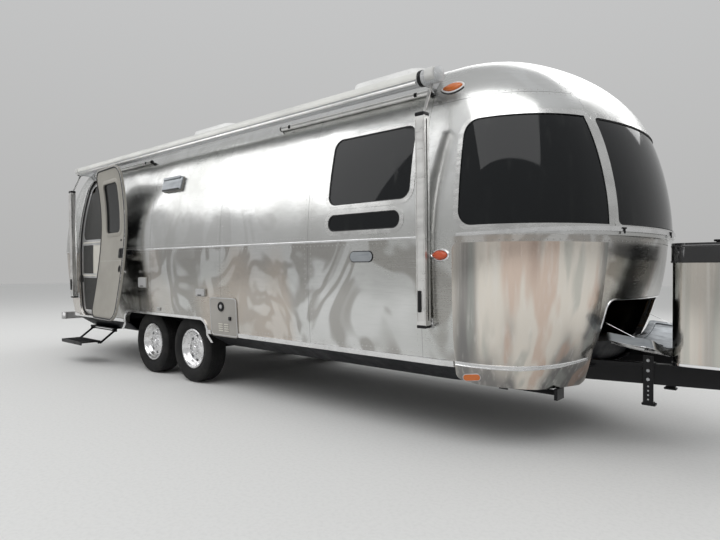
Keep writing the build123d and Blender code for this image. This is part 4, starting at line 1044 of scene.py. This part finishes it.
# Screen door: mesh in its openings, a slider, its bars and a latch
screen = {
    "proud": -0.044, "span": (-2.143, -1.508), "openings": [(0.676, 1.124), (1.176, 1.569), (1.636, 2.404)],
    "slider": (-1.820, -1.510), "crown": 0.085, "bars": (-2.135, -1.515), "barProud": -0.038,
    "latch": (-2.160, 1.105),
}
a, b = screen["span"]
slideRear, slideFront = screen["slider"]
lower, (low, high), (sill, head) = screen["openings"]
proud, crown = screen["proud"], screen["crown"]
upper = [sheetPatch((a, b), (sill, head - crown), -1, proud, 6, 12),
         sheetPatch((a + crown, b - crown), (head - crown, head - 0.004), -1, proud, 4, 3)]
sheets = [sheetPatch((a, b), lower, -1, proud, 6, 6),
          sheetPatch((a, slideRear), (low, high), -1, proud, 4, 6), joined(upper)]
for index, sheet in enumerate(sheets):
    settle(sheet, f"screenMesh{index}", "screen", "screen")
slide = sheetPatch((slideRear, slideFront + 0.004), (low - 0.003, high + 0.003), -1, proud + 0.001, 4, 6)
modifier(slide, "SOLIDIFY", thickness=0.003, offset=0.0)
settle(slide, "screenSlider", "ivory", "screen")
bars = [bead((x, low), (x, high), flatBar(0.006, 0.004), proud + 0.0025)
        for x in (slideRear + 0.006, slideFront - 0.004)]
a, b = screen["bars"]
bars += [bead((a, z), (b, z), roundBar(0.009, rise), screen["barProud"])
         for z, rise in ((1.152, 0.0065), (1.602, 0.006))]
settle(closed(joined(bars)), "screenBars", "ivory", "screen")
latch = [slab((0.036, 0.100, 0.0045), 0.008, onWall(*screen["latch"], -1, -0.038), 0.0015,
              centre=(0, 0, 0.0022)),
         plate((0.016, 0.050, 0.0030), 0.005, onWall(*screen["latch"], -1, -0.034), 0.001)]
settle(joined(latch), "screenLatch", "black", "screen")

# Doorway: black gasket in the opening, and a bright rim round it that stops at the hinges
doorway = {"box": (-2.200, -1.430, 0.605, 2.480, 0.150), "hinges": (0.900, 1.400, 1.900), "hingeHalf": 0.055}
gasket = onSide(boxLoop(doorway["box"], -0.0023, 0.06), -1, -0.034)
settle(closed(strip(gasket, roundBar(0.0021, 0.012), True)), "doorwayGasket", "rubber")
rear, front = doorway["box"][:2]
rim = [p for p in boxLoop(doorway["box"], 0.011, 0.06)
       if p[0] <= front or all(abs(p[1] - h) >= doorway["hingeHalf"] for h in doorway["hinges"])]
start = next(i for i, p in enumerate(rim) if p[0] < rear)
runs = [[]]
for point in rim[start:] + rim[:start]:
    if runs[-1] and (Vector(point) - Vector(runs[-1][-1])).length > 0.09:
        runs.append([])
    runs[-1].append(point)
rimParts = [strip(onSide(run, -1, 0.0003), flatBar(0.008, 0.003)) for run in runs if len(run) > 1]
settle(closed(joined(rimParts)), "doorwayRim", "trim")

# Catch that holds the door back against the wall
catch = [plate((0.100, 0.060, 0.010), 0.010, onWall(-0.690, 1.440, -1, 0.0003), 0.002),
         plate((0.026, 0.036, 0.030), 0.006, onWall(-0.700, 1.440, -1, 0.0103), 0.003)]
settle(joined(catch), "doorCatch", "black")


# Front hatch: bright rim, seal, lining of the storage behind, and the lid's inner face, locks and stays
def hatchLoop(grow):
    low, high = hatch["low"] + grow, hatch["high"] + grow
    bottom, top = hatch["bottom"] - grow, hatch["top"] + grow
    corners = [(-low, bottom), (low, bottom), (high, top), (-high, top)]
    return dense(roundLoop(corners, hatch["corner"] + grow))


def hatchRun(grow):               # the loop above the hinge, as one run
    run = [p for p in hatchLoop(grow) if p[1] > hatch["split"]]
    split = max(range(len(run)), key=lambda i: (Vector(run[i]) - Vector(run[i - 1])).length)
    return run[split:] + run[:split]


settle(closed(strip(onEnd(hatchRun(0.008), 1, 0.0003), roundBar(0.007, 0.005))), "hatchRim", "chrome")
settle(closed(strip(onEnd(hatchRun(-0.0036), 1, -0.040), roundBar(0.0034, 0.016))), "hatchSeal", "rubber")
lining = [block((3.724, -0.82, 0.6415), (4.330, 0.82, 0.6475), 0.001),
          block((3.724, -0.82, 1.0350), (4.330, 0.82, 1.0410), 0.001),
          block((3.722, -0.82, 0.6480), (3.728, 0.82, 1.0340), 0.001)]
settle(joined(lining), "storageLining", "carpet")
refinish(bpy.data.objects["front_hatch_skin"], "lidInner",
         lambda centre, normal: normal.z > 0.3 or abs(normal.y) > 0.6)
lidTrim = strip(onEnd(hatchLoop(-0.0095), 1, -0.002), flatBar(0.003, 0.0042, 0.001), True)
opened(closed(lidTrim), "hatchLidRim", "chrome", "hatch_lid")
lidBead = strip(inwards(onEnd(hatchLoop(-0.030), 1, hatch["inner"])), flatBar(0.008, 0.004), True)
opened(closed(lidBead), "hatchLidFlange", "lidInner", "hatch_lid")
lidSwung = swings["hatch_lid"]
locks = [plate((0.060, 0.036, 0.016), 0.008, lidSwung @ onNose(y, 0.985, 1, hatch["inner"]) @ flip, 0.002)
         for y in hatch["locks"]]
settle(joined(locks), "hatchLocks", "black", "hatch_lid")
stays = [bar(endPoint(y, 0.885, 1, hatch["inner"])[0], lidSwung @ endPoint(y, 0.905, 1, -0.056)[0],
             0.0016, 10) for y in hatch["stays"]]
settle(joined(stays), "hatchStays", "chrome", "hatch_lid")
print("door and hatch dressed")

well = {"half": 1.03, "inner": 0.86}          # boxes over the wheels, bare black metal
refinish(bpy.data.objects["floor_deck_skin"], "pan", lambda centre, normal: normal.z < -0.5 or (
    abs(centre.y) > well["inner"] and abs(centre.x - axles) < well["half"]))

# Lamps: a domed lens in its bezel, its outline pointed to the rear at the side
lamps = {
    "side": {"spot": (3.7290, 1.3435), "lens": (0.122, 0.058), "rise": 0.020, "colour": "amberRed",
             "bezel": (0.138, 0.074), "bar": (0.009, 0.010), "metal": "chrome"},
    "roof": {"spot": (3.7075, 2.545), "lens": (0.160, 0.060), "rise": 0.024, "colour": "amber",
             "bezel": (0.176, 0.074), "bar": (0.008, 0.009), "metal": "white"},
}
tail = {"y": 0.780, "heights": (0.900, 1.060), "radius": 0.058, "rise": 0.018, "ring": 0.066}
reflector = (3.922, 0.519)


def teardrop(centreX, centreZ, length, height):
    points = []
    for angle in np.linspace(0, 2 * math.pi, 28, endpoint=False):
        x = math.cos(angle)
        taper = 1.0 if x > 0 else 1 - 0.55 * x * x
        points.append((centreX + x * length / 2, centreZ + math.sin(angle) * height / 2 * taper))
    return points


def lensOn(path, rise):           # domed lens over an outline on the skin
    middle = sum((point for point, normal in path), Vector()) / len(path)
    out = sum((normal for point, normal in path), Vector()).normalized()
    levels = [(1.0, 0.0), (0.97, 0.45), (0.86, 0.78), (0.64, 0.94), (0.32, 1.0)]
    points = [middle + (point - middle) * share + out * rise * height
              for share, height in levels for point, normal in path]
    ends = [tuple(range(len(points) - len(path), len(points))), tuple(range(len(path)))]
    return closed(fromFaces(points, ringFaces(len(path), len(levels)) + ends))


rearLenses, rearRings = [], []
for y, z in [(hand * tail["y"], z) for hand in (-1, 1) for z in tail["heights"]]:
    outline = [(y + tail["radius"] * math.cos(a), z + tail["radius"] * math.sin(a))
               for a in np.linspace(0, 2 * math.pi, 32, endpoint=False)]
    rearLenses.append(lensOn(onEnd(outline, -1, 0.001), tail["rise"]))
    rearRings.append(ring(tail["ring"], 0.009, onNose(y, z, -1), 0.008))
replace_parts(settle(joined(rearLenses), "tailLenses", "red"), "lamps")
settle(joined(rearRings), "rearLampRings", "chrome")
for hand, sideName in hands:
    for name, lamp in lamps.items():
        lens = lensOn(onSide(teardrop(*lamp["spot"], *lamp["lens"]), hand, 0.001), lamp["rise"])
        settle(lens, name + "Lens" + sideName, lamp["colour"], angle=50)
        bezel = onSide(teardrop(*lamp["spot"], *lamp["bezel"]), hand, 0.0006)
        settle(closed(strip(bezel, roundBar(*lamp["bar"]), True)), name + "Bezel" + sideName, lamp["metal"])
    x, z = lamps["roof"]["spot"]
    foot = [p for p in teardrop(x, z - 0.004, 0.186, 0.082) if p[1] < z + 0.004]
    foot = strip(onSide(foot, hand, 0.0003), flatBar(0.006, 0.004))
    settle(closed(foot), "roofLampFoot" + sideName, "rubber")
    pill = plate((0.112, 0.044, 0.007), 0.021, onWall(*reflector, hand, 0.0038), 0.002, 8)
    settle(pill, "guardReflector" + sideName, "amber")
    edging = plate((0.122, 0.054, 0.003), 0.026, onWall(*reflector, hand, 0.0036), 0.001, 8)
    settle(edging, "guardReflectorBase" + sideName, "dullTrim")
platePlace = onNose(0.0, 1.230, -1, 0.004)
settle(plate((0.330, 0.180, 0.008), 0.012, platePlace, 0.002), "plateHolder", "black")
settle(plate((0.305, 0.152, 0.002), 0.010, platePlace, 0.0005, base=0.0085), "blankPlate", "white")

# Blank name plate and the fittings on the right side
namePlate = (3.017, 1.343)
pill = plate((0.235, 0.088, 0.004), 0.043, onWall(*namePlate, -1, 0.0003), 0.001, 10)
settle(pill, "sidePlateEdge", "black")
pill = plate((0.222, 0.075, 0.003), 0.037, onWall(*namePlate, -1, 0.0043), 0.001, 10)
settle(pill, "sidePlateFace", "lidInner")
boxes = {"rearBox": (-0.3845, 1.084, 0.176, 0.112), "frontBox": (0.820, 1.003, 0.155, 0.074)}
for name, (x, z, wide, high) in boxes.items():
    settle(plate((wide, high, 0.014), 0.012, onWall(x, z, -1, 0.0085), 0.004), name + "Cover", "grey")
    grip = plate((wide * 0.4, 0.010, 0.005), 0.003, onWall(x, z - high * 0.36, -1, 0.0225), 0.001)
    settle(grip, name + "Grip", "rubber")
inlet = [plate((0.052, 0.034, 0.016), 0.006, onWall(-0.050, 0.781, -1, 0.0003), 0.002),
         plate((0.060, 0.010, 0.022), 0.004, onWall(-0.050, 0.803, -1, 0.0003), 0.002)]
settle(joined(inlet), "waterInlet", "dullTrim")
heater = {"vent": (1.172, 0.872), "catch": (1.312, 0.760), "louvreColumns": (1.150, 1.245), "louvre": 0.632,
          "louvrePitch": 0.022, "edge": (0.981, 1.414, 0.586, 0.955, 0.036), "proud": 0.0083}
vent = onWall(*heater["vent"], -1, 0.0085)
settle(ring(0.040, 0.009, vent, 0.0045), "heaterVentRing", "black")
settle(disc(0.036, 0.004, vent, 24, 0.001), "heaterVentWell", "rubber")
settle(disc(0.021, 0.010, vent, 20, 0.003), "heaterVentTube", "grey")
catch = plate((0.036, 0.036, 0.012), 0.005, onWall(*heater["catch"], -1, heater["proud"]), 0.002)
settle(catch, "heaterCatch", "black")
slats = [plate((0.070, 0.010, 0.006), 0.004, onWall(x, heater["louvre"] + row * heater["louvrePitch"], -1,
                                                    heater["proud"]), 0.001)
         for x in heater["louvreColumns"] for row in range(4)]
settle(joined(slats), "heaterLouvres", "ivory")
edge = strip(onSide(boxLoop(heater["edge"]), -1, 0.0075), roundBar(0.005, 0.0035), True)
settle(closed(edge), "heaterEdge", "dullTrim")
hoodX = 0.170
hood = [plate((0.390, 0.150, 0.030), 0.016, onWall(hoodX, 2.190, -1, 0.008), 0.008),
        plate((0.350, 0.030, 0.020), 0.010, onWall(hoodX, 2.250, -1, 0.036), 0.006, base=-0.002)]
settle(joined(hood), "hoodVentCover", "lidInner")
slot = plate((0.340, 0.018, 0.010), 0.006, onWall(hoodX, 2.121, -1, 0.037), 0.001, base=-0.002)
settle(slot, "hoodVentSlot", "black")
clips = []
for place in [onNose(y, 1.505, 1, 0.014) for y in (-0.680, 0, 0.680)]:
    clips += [slab((0.036, 0.010, 0.008), 0.003, place, 0.001, centre=(0, 0.012, 0.004)),
              slab((0.010, 0.036, 0.008), 0.003, place, 0.001, centre=(0, -0.006, 0.004))]
settle(joined(clips), "sillClips", "black")
print("fittings on the skin")

# Wheels: nuts, caps, lips, studs and valves on their faces
wheel = {"nuts": 8, "nutCircle": 0.066, "studCircle": 0.157, "face": 1.0842, "valve": 0.39,
         "stations": {"front": 0.432, "rear": -0.432}, "axle": 0.368}


def wheelFace(station, hand, radius=0.0, angle=0.0, out=0.0):
    place = spot(station, hand * (wheel["face"] + out), wheel["axle"])
    upright = Matrix.Rotation(hand * -math.pi / 2, 4, "X")
    return place @ upright @ Matrix.Rotation(angle, 4, "Z") @ shift(radius, 0, 0)


for end, station in wheel["stations"].items():
    for hand, sideName in hands:
        tag = end + "_" + sideName.lower()
        rides = "wheel_" + tag
        nuts, studs = [], []
        for k in range(wheel["nuts"]):
            place = wheelFace(station, hand, wheel["nutCircle"], 2 * math.pi * k / wheel["nuts"])
            nuts += [disc(0.0098, 0.016, place, 6, 0.0015),
                     dome(0.0085, 0.007, place @ shift(0, 0, 0.015), 10, 6)]
            angle = 2 * math.pi * (k + 0.5) / wheel["nuts"]
            place = wheelFace(station, hand, wheel["studCircle"], angle, -0.0240)
            studs.append(dome(0.0052, 0.004, place, 10, 6))
        settle(joined(nuts), "wheelNuts_" + tag, "chrome", rides)
        settle(joined(studs), "rimStuds_" + tag, "chrome", rides)
        hub = wheelFace(station, hand)
        cap = [disc(0.046, 0.010, hub, 32, 0.003), disc(0.038, 0.024, hub, 32, 0.004),
               dome(0.033, 0.012, wheelFace(station, hand, out=0.023), 24, 10)]
        settle(joined(cap), "wheelCap_" + tag, "chrome", rides)
        lip = ring(0.2065, 0.0050, wheelFace(station, hand, out=0.0435), sides=72)
        settle(lip, "rimLip_" + tag, "chrome", rides)
        valve = bar(wheelFace(station, hand, 0.168, wheel["valve"], -0.012).translation,
                    wheelFace(station, hand, 0.150, wheel["valve"], 0.012).translation, 0.0042, 12, 0.001)
        settle(valve, "valve_" + tag, "rubber", rides)
print("wheels dressed")

# Awning: metal cover over the roll, end caps, heads and the details of its arms
awning = {"y": -1.225, "z": 2.612, "cover": 0.0578, "inner": 0.966, "ends": (-2.285, 3.525),
          "arms": (-2.262, 3.620), "heads": (("rear", -2.282, 0.060), ("front", 3.632, 0.076))}
armShape = {"bottom": 0.850, "top": 2.320, "lowOut": 0.0203, "topOut": 0.150, "foot": 0.870}


def awningShield():               # the metal shield, a thick arc in section
    arc = [(math.cos(a), math.sin(a)) for a in np.linspace(math.radians(-38), math.radians(196), 22)]
    outer, inner = [[(awning["y"] + v * size, awning["z"] + w * size) for v, w in arc]
                    for size in (awning["cover"], awning["cover"] * awning["inner"])]
    section = outer + inner[::-1]
    points = [(x + axles, y, z) for x in awning["ends"] for y, z in section]
    count = len(section)
    faces = ringFaces(count, 2)
    for first in (0, count):
        faces += [(first + k, first + k + 1, first + count - 2 - k, first + count - 1 - k)
                  for k in range(len(outer) - 1)]
    return fromFaces(points, faces)


settle(closed(awningShield()), "awningShield", "awningCover")
rear, front = awning["ends"]
hem = block((rear + 0.005, awning["y"] - 0.0615, awning["z"] - 0.052),
            (front - 0.005, awning["y"] - 0.0505, awning["z"] - 0.030), 0.003)
settle(hem, "awningHem", "awningAlu")
for name, x, way in (("rear", rear, -1), ("front", front, 1)):
    place = spot(x, awning["y"], awning["z"]) @ turnX
    cap = [disc(0.0585, 0.030, place, 32, 0.003, min(way, 0) * 0.030),
           ring(0.048, 0.006, place, way * 0.031, 32)]
    settle(joined(cap), "awningCap_" + name, "black")
for name, x, thick in awning["heads"]:
    place = spot(x, awning["y"] + 0.004, awning["z"] + 0.004) @ turnX
    settle(slab((0.088, 0.150, thick), 0.034, place, 0.006, 8), "awningHead_" + name, "awningHead")
lowY = -float(halfWidth(armShape["bottom"])) - armShape["lowOut"]
topY = -float(halfWidth(armShape["top"])) - armShape["topOut"]
lean = Vector((0, topY - lowY, armShape["top"] - armShape["bottom"])).normalized()
armTurn = Matrix((Vector((1, 0, 0)), lean, Vector((0, -lean.z, lean.y)))).transposed().to_4x4()
for name, x in zip(("rear", "front"), awning["arms"]):
    base = spot(x, (lowY + topY) / 2, (armShape["bottom"] + armShape["top"]) / 2) @ armTurn
    caps = [slab((0.080, 0.030, 0.066), 0.010, base @ shift(0, 0.728, 0.029), 0.004),
            slab((0.080, 0.024, 0.066), 0.010, base @ shift(0, -0.734, 0.029), 0.004)]
    settle(joined(caps), "armCaps_" + name, "black")
    face = [slab((0.052, 1.380, 0.004), 0.004, base @ shift(0, 0, 0.0605)),
            slab((0.006, 1.400, 0.006), 0.002, base @ shift(-0.033, 0, 0.0610)),
            slab((0.006, 1.400, 0.006), 0.002, base @ shift(0.033, 0, 0.0610))]
    settle(joined(face), "armFace_" + name, "awningAlu")
    grip = slab((0.024, 0.150, 0.016), 0.008, base @ shift(-0.010, -0.560, 0.066), 0.004)
    settle(grip, "armHandle_" + name, "black")
    foot = [plate((0.096, 0.070, 0.010), 0.010, onWall(x, armShape["foot"], -1, 0.0003), 0.002)]
    foot += [dome(0.008, 0.006, onWall(x + shy, armShape["foot"], -1, 0.0103), 10, 6)
             for shy in (-0.040, 0.040)]
    settle(joined(foot), "armFoot_" + name, "dullTrim")
windowAwning = {"front": (1.890, 3.530), "rear": (-2.060, -0.500), "z": 2.545, "arm": 0.12}
y = -float(halfWidth(2.540)) - 0.021
for name in ("front", "rear"):
    a, b = windowAwning[name]
    caps = [disc(0.0225, 0.016, spot(x, y, windowAwning["z"]) @ turnX, 20, 0.003, -0.008) for x in (a, b)]
    caps += [slab((0.030, 0.060, 0.026), 0.006, spot(x, y + 0.006, windowAwning["z"]) @ turnX, 0.002)
             for x in (a + windowAwning["arm"], b - windowAwning["arm"])]
    settle(joined(caps), "windowAwningCaps_" + name, "black")
print("awning dressed")

# Tow hitch: bracket bolts and shoes, gas cover rims and knob, jack head and bolts
hitch = {"bracket": 4.8125, "rail": 0.3613, "rivets": (0.362, 0.392, 0.422, 0.452),
         "bolts": (0.500, 0.560, 0.630)}
for hand, sideName in hands:
    turn = Matrix.Rotation(-hand * math.pi / 2, 4, "X")
    places = [(z, spot(hitch["bracket"], hand * (hitch["rail"] - 0.001), z) @ turn)
              for z in hitch["rivets"] + hitch["bolts"]]
    bolts = [disc(0.012, 0.009, place, 6) if z in hitch["bolts"] else disc(0.006, 0.0025, place, 14)
             for z, place in places]
    settle(joined(bolts), "bracketBolts" + sideName, "zinc")
    place = spot(hitch["bracket"], hand * (hitch["rail"] - 0.030), 0.3275)
    settle(slab((0.088, 0.060, 0.016), 0.010, place, 0.003), "bracketShoe" + sideName, "black")
gas = {"box": (4.945, 5.390, -0.375, 0.375, 0.090), "top": 1.425}


def gasBand(z, grow, profile):
    loop = [(x + axles, y) for x, y in boxLoop(gas["box"], grow, 0.06, 8)]
    return closed(strip(levelPath(loop, z), profile, True))


settle(gasBand(0.622, 0.0003, flatBar(0.009, 0.004)), "gasCoverFoot", "chrome")
settle(gasBand(1.302, 0.0083, flatBar(0.005, 0.003)), "gasLidEdge", "rubber", "gas_cover_lid")
settle(gasBand(1.404, 0.0030, roundBar(0.010, 0.008)), "gasLidBead", "glossBlack", "gas_cover_lid")
place = spot(sum(gas["box"][:2]) / 2, 0, gas["top"])
knob = [disc(0.034, 0.010, place, 28, 0.002), disc(0.014, 0.026, place, 20, 0.002),
        disc(0.028, 0.014, place, 28, 0.004, 0.022)]
settle(joined(knob), "gasLidKnob", "black", "gas_cover_lid")
jack = spot(5.550)
head = [slab((0.150, 0.130, 0.010), 0.028, jack @ shift(-0.005, 0, 1.153), 0.004),
        slab((0.144, 0.124, 0.008), 0.026, jack @ shift(-0.005, 0, 1.060), 0.002)]
settle(joined(head), "jackHeadLid", "rubber")
socket = [disc(0.014, 0.030, jack @ shift(0.020, 0, 1.158), 20, 0.003),
          slab((0.040, 0.026, 0.010), 0.006, jack @ shift(-0.040, 0, 1.162), 0.002)]
settle(joined(socket), "jackCrankSocket", "chrome")
switch = [slab((0.050, 0.036, 0.008), 0.008, jack @ shift(0.067, 0, 1.085) @ turnX, 0.002),
          disc(0.009, 0.010, jack @ shift(0.068, 0, 1.020) @ turnX, 16, 0.002)]
settle(joined(switch), "jackSwitch", "dullTrim")
settle(joined([ring(0.0305, 0.0025, jack, z, 32) for z in (0.360, 0.640, 0.940)]), "jackCollars", "zinc")


def jackBolts(name, radius, depth, out, z, angles, rides="caravan"):
    places = [jack @ Matrix.Rotation(a, 4, "Z") @ shift(out, 0, z) for a in np.radians(angles)]
    settle(joined([disc(radius, depth, place, 6) for place in places]), name, "zinc", rides)


jackBolts("jackFootBolts", 0.008, 0.006, 0.058, 0.012, (45, 135, 225, 315), "jack_foot")
jackBolts("jackFlangeBolts", 0.009, 0.008, 0.060, 0.6172, (30, 150, 270))
print("hitch dressed")

# Entry step: ribbed grip on the tread
grip = [block((x, -1.515, 0.2995), (x + 0.008, -1.295, 0.3025), 0.001, 1)
        for x in np.arange(-2.100, -1.540, 0.028)]
settle(joined(grip), "stepGrip", "rubber", "step")

# Roof: louvres in the shrouds' sloping sides, lids on the vents
roof = {"shrouds": [(1.950, 3.000), (-1.000, 0.050)], "vents": [(1.300, 0.0), (0.400, -0.300), (-1.700, 0.0)],
        "louvreEnds": (0.24, -0.28), "louvreLow": 2.925, "louvrePitch": 0.030, "half": 0.360, "slope": 0.2069,
        "lids": [((0.408, 0.408, 0.018), 2.972), ((0.360, 0.360, 0.012), 2.986)]}
louvres = []
for a, b in roof["shrouds"]:
    a, b = a + roof["louvreEnds"][0], b + roof["louvreEnds"][1]
    for side, k in [(side, k) for side in (-1, 1) for k in range(5)]:
        z = roof["louvreLow"] + k * roof["louvrePitch"]
        y = side * (roof["half"] - (z - 2.84) * roof["slope"])
        louvres.append(block((a, y - 0.004, z - 0.005), (b, y + 0.004, z + 0.005), 0.001, 1))
settle(joined(louvres), "shroudLouvres", "rubber")
lids = [slab(size, 0.045, spot(x, y, z), 0.004) for x, y in roof["vents"] for size, z in roof["lids"]]
settle(joined(lids), "ventLids", "white")

# Bumper: two dark lines along its face
acrossFace = Matrix.Rotation(math.pi / 2, 4, "Z") @ Matrix.Rotation(math.pi / 2, 4, "X")
lines = [slab((2.000, 0.012, 0.003), 0.004, spot(-3.4815, 0, z) @ acrossFace) for z in (0.485, 0.530)]
settle(joined(lines), "bumperLines", "rubber")
print("step, roof and bumper dressed")

# Lounge cushions: three seat cushions on the board along the bow, each crowned and piped
lounge = {
    "base": 1.0635, "inset": 0.100, "rear": 3.715, "splits": (-0.420, 0.420), "gap": 0.006, "crown": 0.1175,
    "levels": [(0.93, 0.000), (0.975, 0.006), (0.992, 0.024), (1.000, 0.052), (0.992, 0.080), (0.976, 0.094),
               (0.93, 0.102), (0.82, 0.108), (0.62, 0.113), (0.34, 0.1165)],
    "welts": [(0.985, 0.017), (0.986, 0.087)],
}


def cushionOutline(yLow, yHigh):
    run = outlineAt(1.10, 1, 1, 0.05)
    points = [(p - n * lounge["inset"]) for p, n in run if p.x - axles > lounge["rear"]]
    whole = [(p.x, -p.y) for p in points] + [(p.x, p.y) for p in reversed(points[:-1])]
    kept = [p for p in whole if yLow < p[1] < yHigh]
    rear = lounge["rear"] + axles
    xs, ys = zip(*whole)
    first = (float(np.interp(yLow, ys, xs)), yLow) if yLow > min(ys) else (rear, min(ys))
    last = (float(np.interp(yHigh, ys, xs)), yHigh) if yHigh < max(ys) else (rear, max(ys))
    return dense([(rear, last[1]), (rear, first[1]), first] + kept + [last], 0.05)


def seatCushion(name, yLow, yHigh):
    loop = [Vector(p) for p in cushionOutline(yLow, yHigh)]
    middle = sum(loop, Vector((0, 0))) / len(loop)
    base, count = lounge["base"], len(loop)
    points = [(*middle.lerp(p, share), base + z) for share, z in lounge["levels"] for p in loop]
    top = len(points)
    points += [(*middle, base + lounge["crown"]), (*middle, base)]
    faces = ringFaces(count, len(lounge["levels"]))
    faces += [(top - count + k, top - count + (k + 1) % count, top) for k in range(count)]
    faces += [((k + 1) % count, k, top + 1) for k in range(count)]
    piece = closed(fromFaces(points, faces))
    modifier(piece, "SUBSURF", levels=1, render_levels=1)
    settle(piece, name, "cushion", angle=80)
    welts = [strip(levelPath([middle.lerp(p, share) for p in loop], base + z), roundBar(0.0035, 0.0055), True)
             for share, z in lounge["welts"]]
    settle(closed(joined(welts)), name + "Piping", "piping", angle=60)


low, high = lounge["splits"]
seatCushion("cushionRight", -1.5, low - lounge["gap"])
seatCushion("cushionMiddle", low + lounge["gap"], high - lounge["gap"])
seatCushion("cushionLeft", high + lounge["gap"], 1.5)
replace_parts(bpy.data.objects["cushionMiddle"], "lounge_cushions")
print("cushions made")

# Floor, light and camera
studio = {"floor": (0.70, 0.70, 0.69), "size": 90.0, "horizon": (0.62, 0.62, 0.615),
          "top": (0.86, 0.87, 0.88)}


def studioFloor():
    bpy.ops.object.select_all(action="DESELECT")
    bpy.ops.mesh.primitive_plane_add(size=studio["size"], location=(-5, 0, 0))
    floor = bpy.context.object
    floor.name = "studioFloor"
    f = Finish("studioFloor", studio["floor"], 0.85)
    speck = f.noise(40, 4, 0.6)
    colour = f.mix(f.between(speck, 0.4, 0.7), studio["floor"], tuple(c * 0.95 for c in studio["floor"]))
    floor.data.materials.append(f.set(Base_Color=colour))


def studioWorld():
    world = bpy.data.worlds.new("studio")
    bpy.context.scene.world = world
    world.use_nodes = True
    tree = world.node_tree
    at = tree.nodes.new("ShaderNodeTexCoord")
    split = tree.nodes.new("ShaderNodeSeparateXYZ")
    ramp = tree.nodes.new("ShaderNodeValToRGB")
    stops = [(0.0, studio["horizon"]), (0.5, studio["horizon"]), (0.95, studio["top"])]
    ramp.color_ramp.elements.new(0.5)
    half = tree.nodes.new("ShaderNodeMapRange")
    half.inputs[1].default_value = -1
    for element, (place, colour) in zip(ramp.color_ramp.elements, stops):
        element.position = place
        element.color = (*colour, 1)
    tree.links.new(at.outputs["Generated"], split.inputs[0])
    tree.links.new(split.outputs[2], half.inputs[0])
    tree.links.new(half.outputs[0], ramp.inputs[0])
    tree.links.new(ramp.outputs[0], tree.nodes["Background"].inputs[0])
    tree.nodes["Background"].inputs[1].default_value = 0.75


def softLamp(name, place, aim, size, watts):
    data = bpy.data.lights.new(name, "AREA")
    data.shape = "RECTANGLE"
    data.size, data.size_y = size
    data.energy = watts
    lamp = bpy.data.objects.new(name, data)
    bpy.context.scene.collection.objects.link(lamp)
    lamp.location = place
    lamp.rotation_euler = (Vector(aim) - Vector(place)).to_track_quat("-Z", "Y").to_euler()


camera = {"place": (0.209, -4.464, 1.240), "turn": 49.1, "roll": 0.20, "focal": 544.7, "frame": 720}


def photoCamera():
    data = bpy.data.cameras.new("photoCamera")
    data.sensor_width = 36
    data.lens = 36 * camera["focal"] / camera["frame"]
    data.clip_end = 300
    piece = bpy.data.objects.new("photoCamera", data)
    bpy.context.scene.collection.objects.link(piece)
    turn = math.radians(camera["turn"])
    look = Vector((-math.cos(turn), math.sin(turn), 0))
    piece.location = camera["place"]
    roll = Matrix.Rotation(math.radians(camera["roll"]), 3, "Z")
    piece.rotation_euler = (look.to_track_quat("-Z", "Y").to_matrix() @ roll).to_euler()
    bpy.context.scene.camera = piece


studioFloor()
studioWorld()
softLamp("key", (-1.0, -9.0, 12.0), (-5, 0, 1.2), (16, 9), 950)
softLamp("fill", (-14.0, -8.0, 8.0), (-6, 0, 1.2), (9, 7), 300)
softLamp("back", (-4.0, 9.0, 9.0), (-5, 0, 1.5), (14, 6), 500)
photoCamera()
bpy.context.scene.view_settings.view_transform = "Standard"
print("studio set")
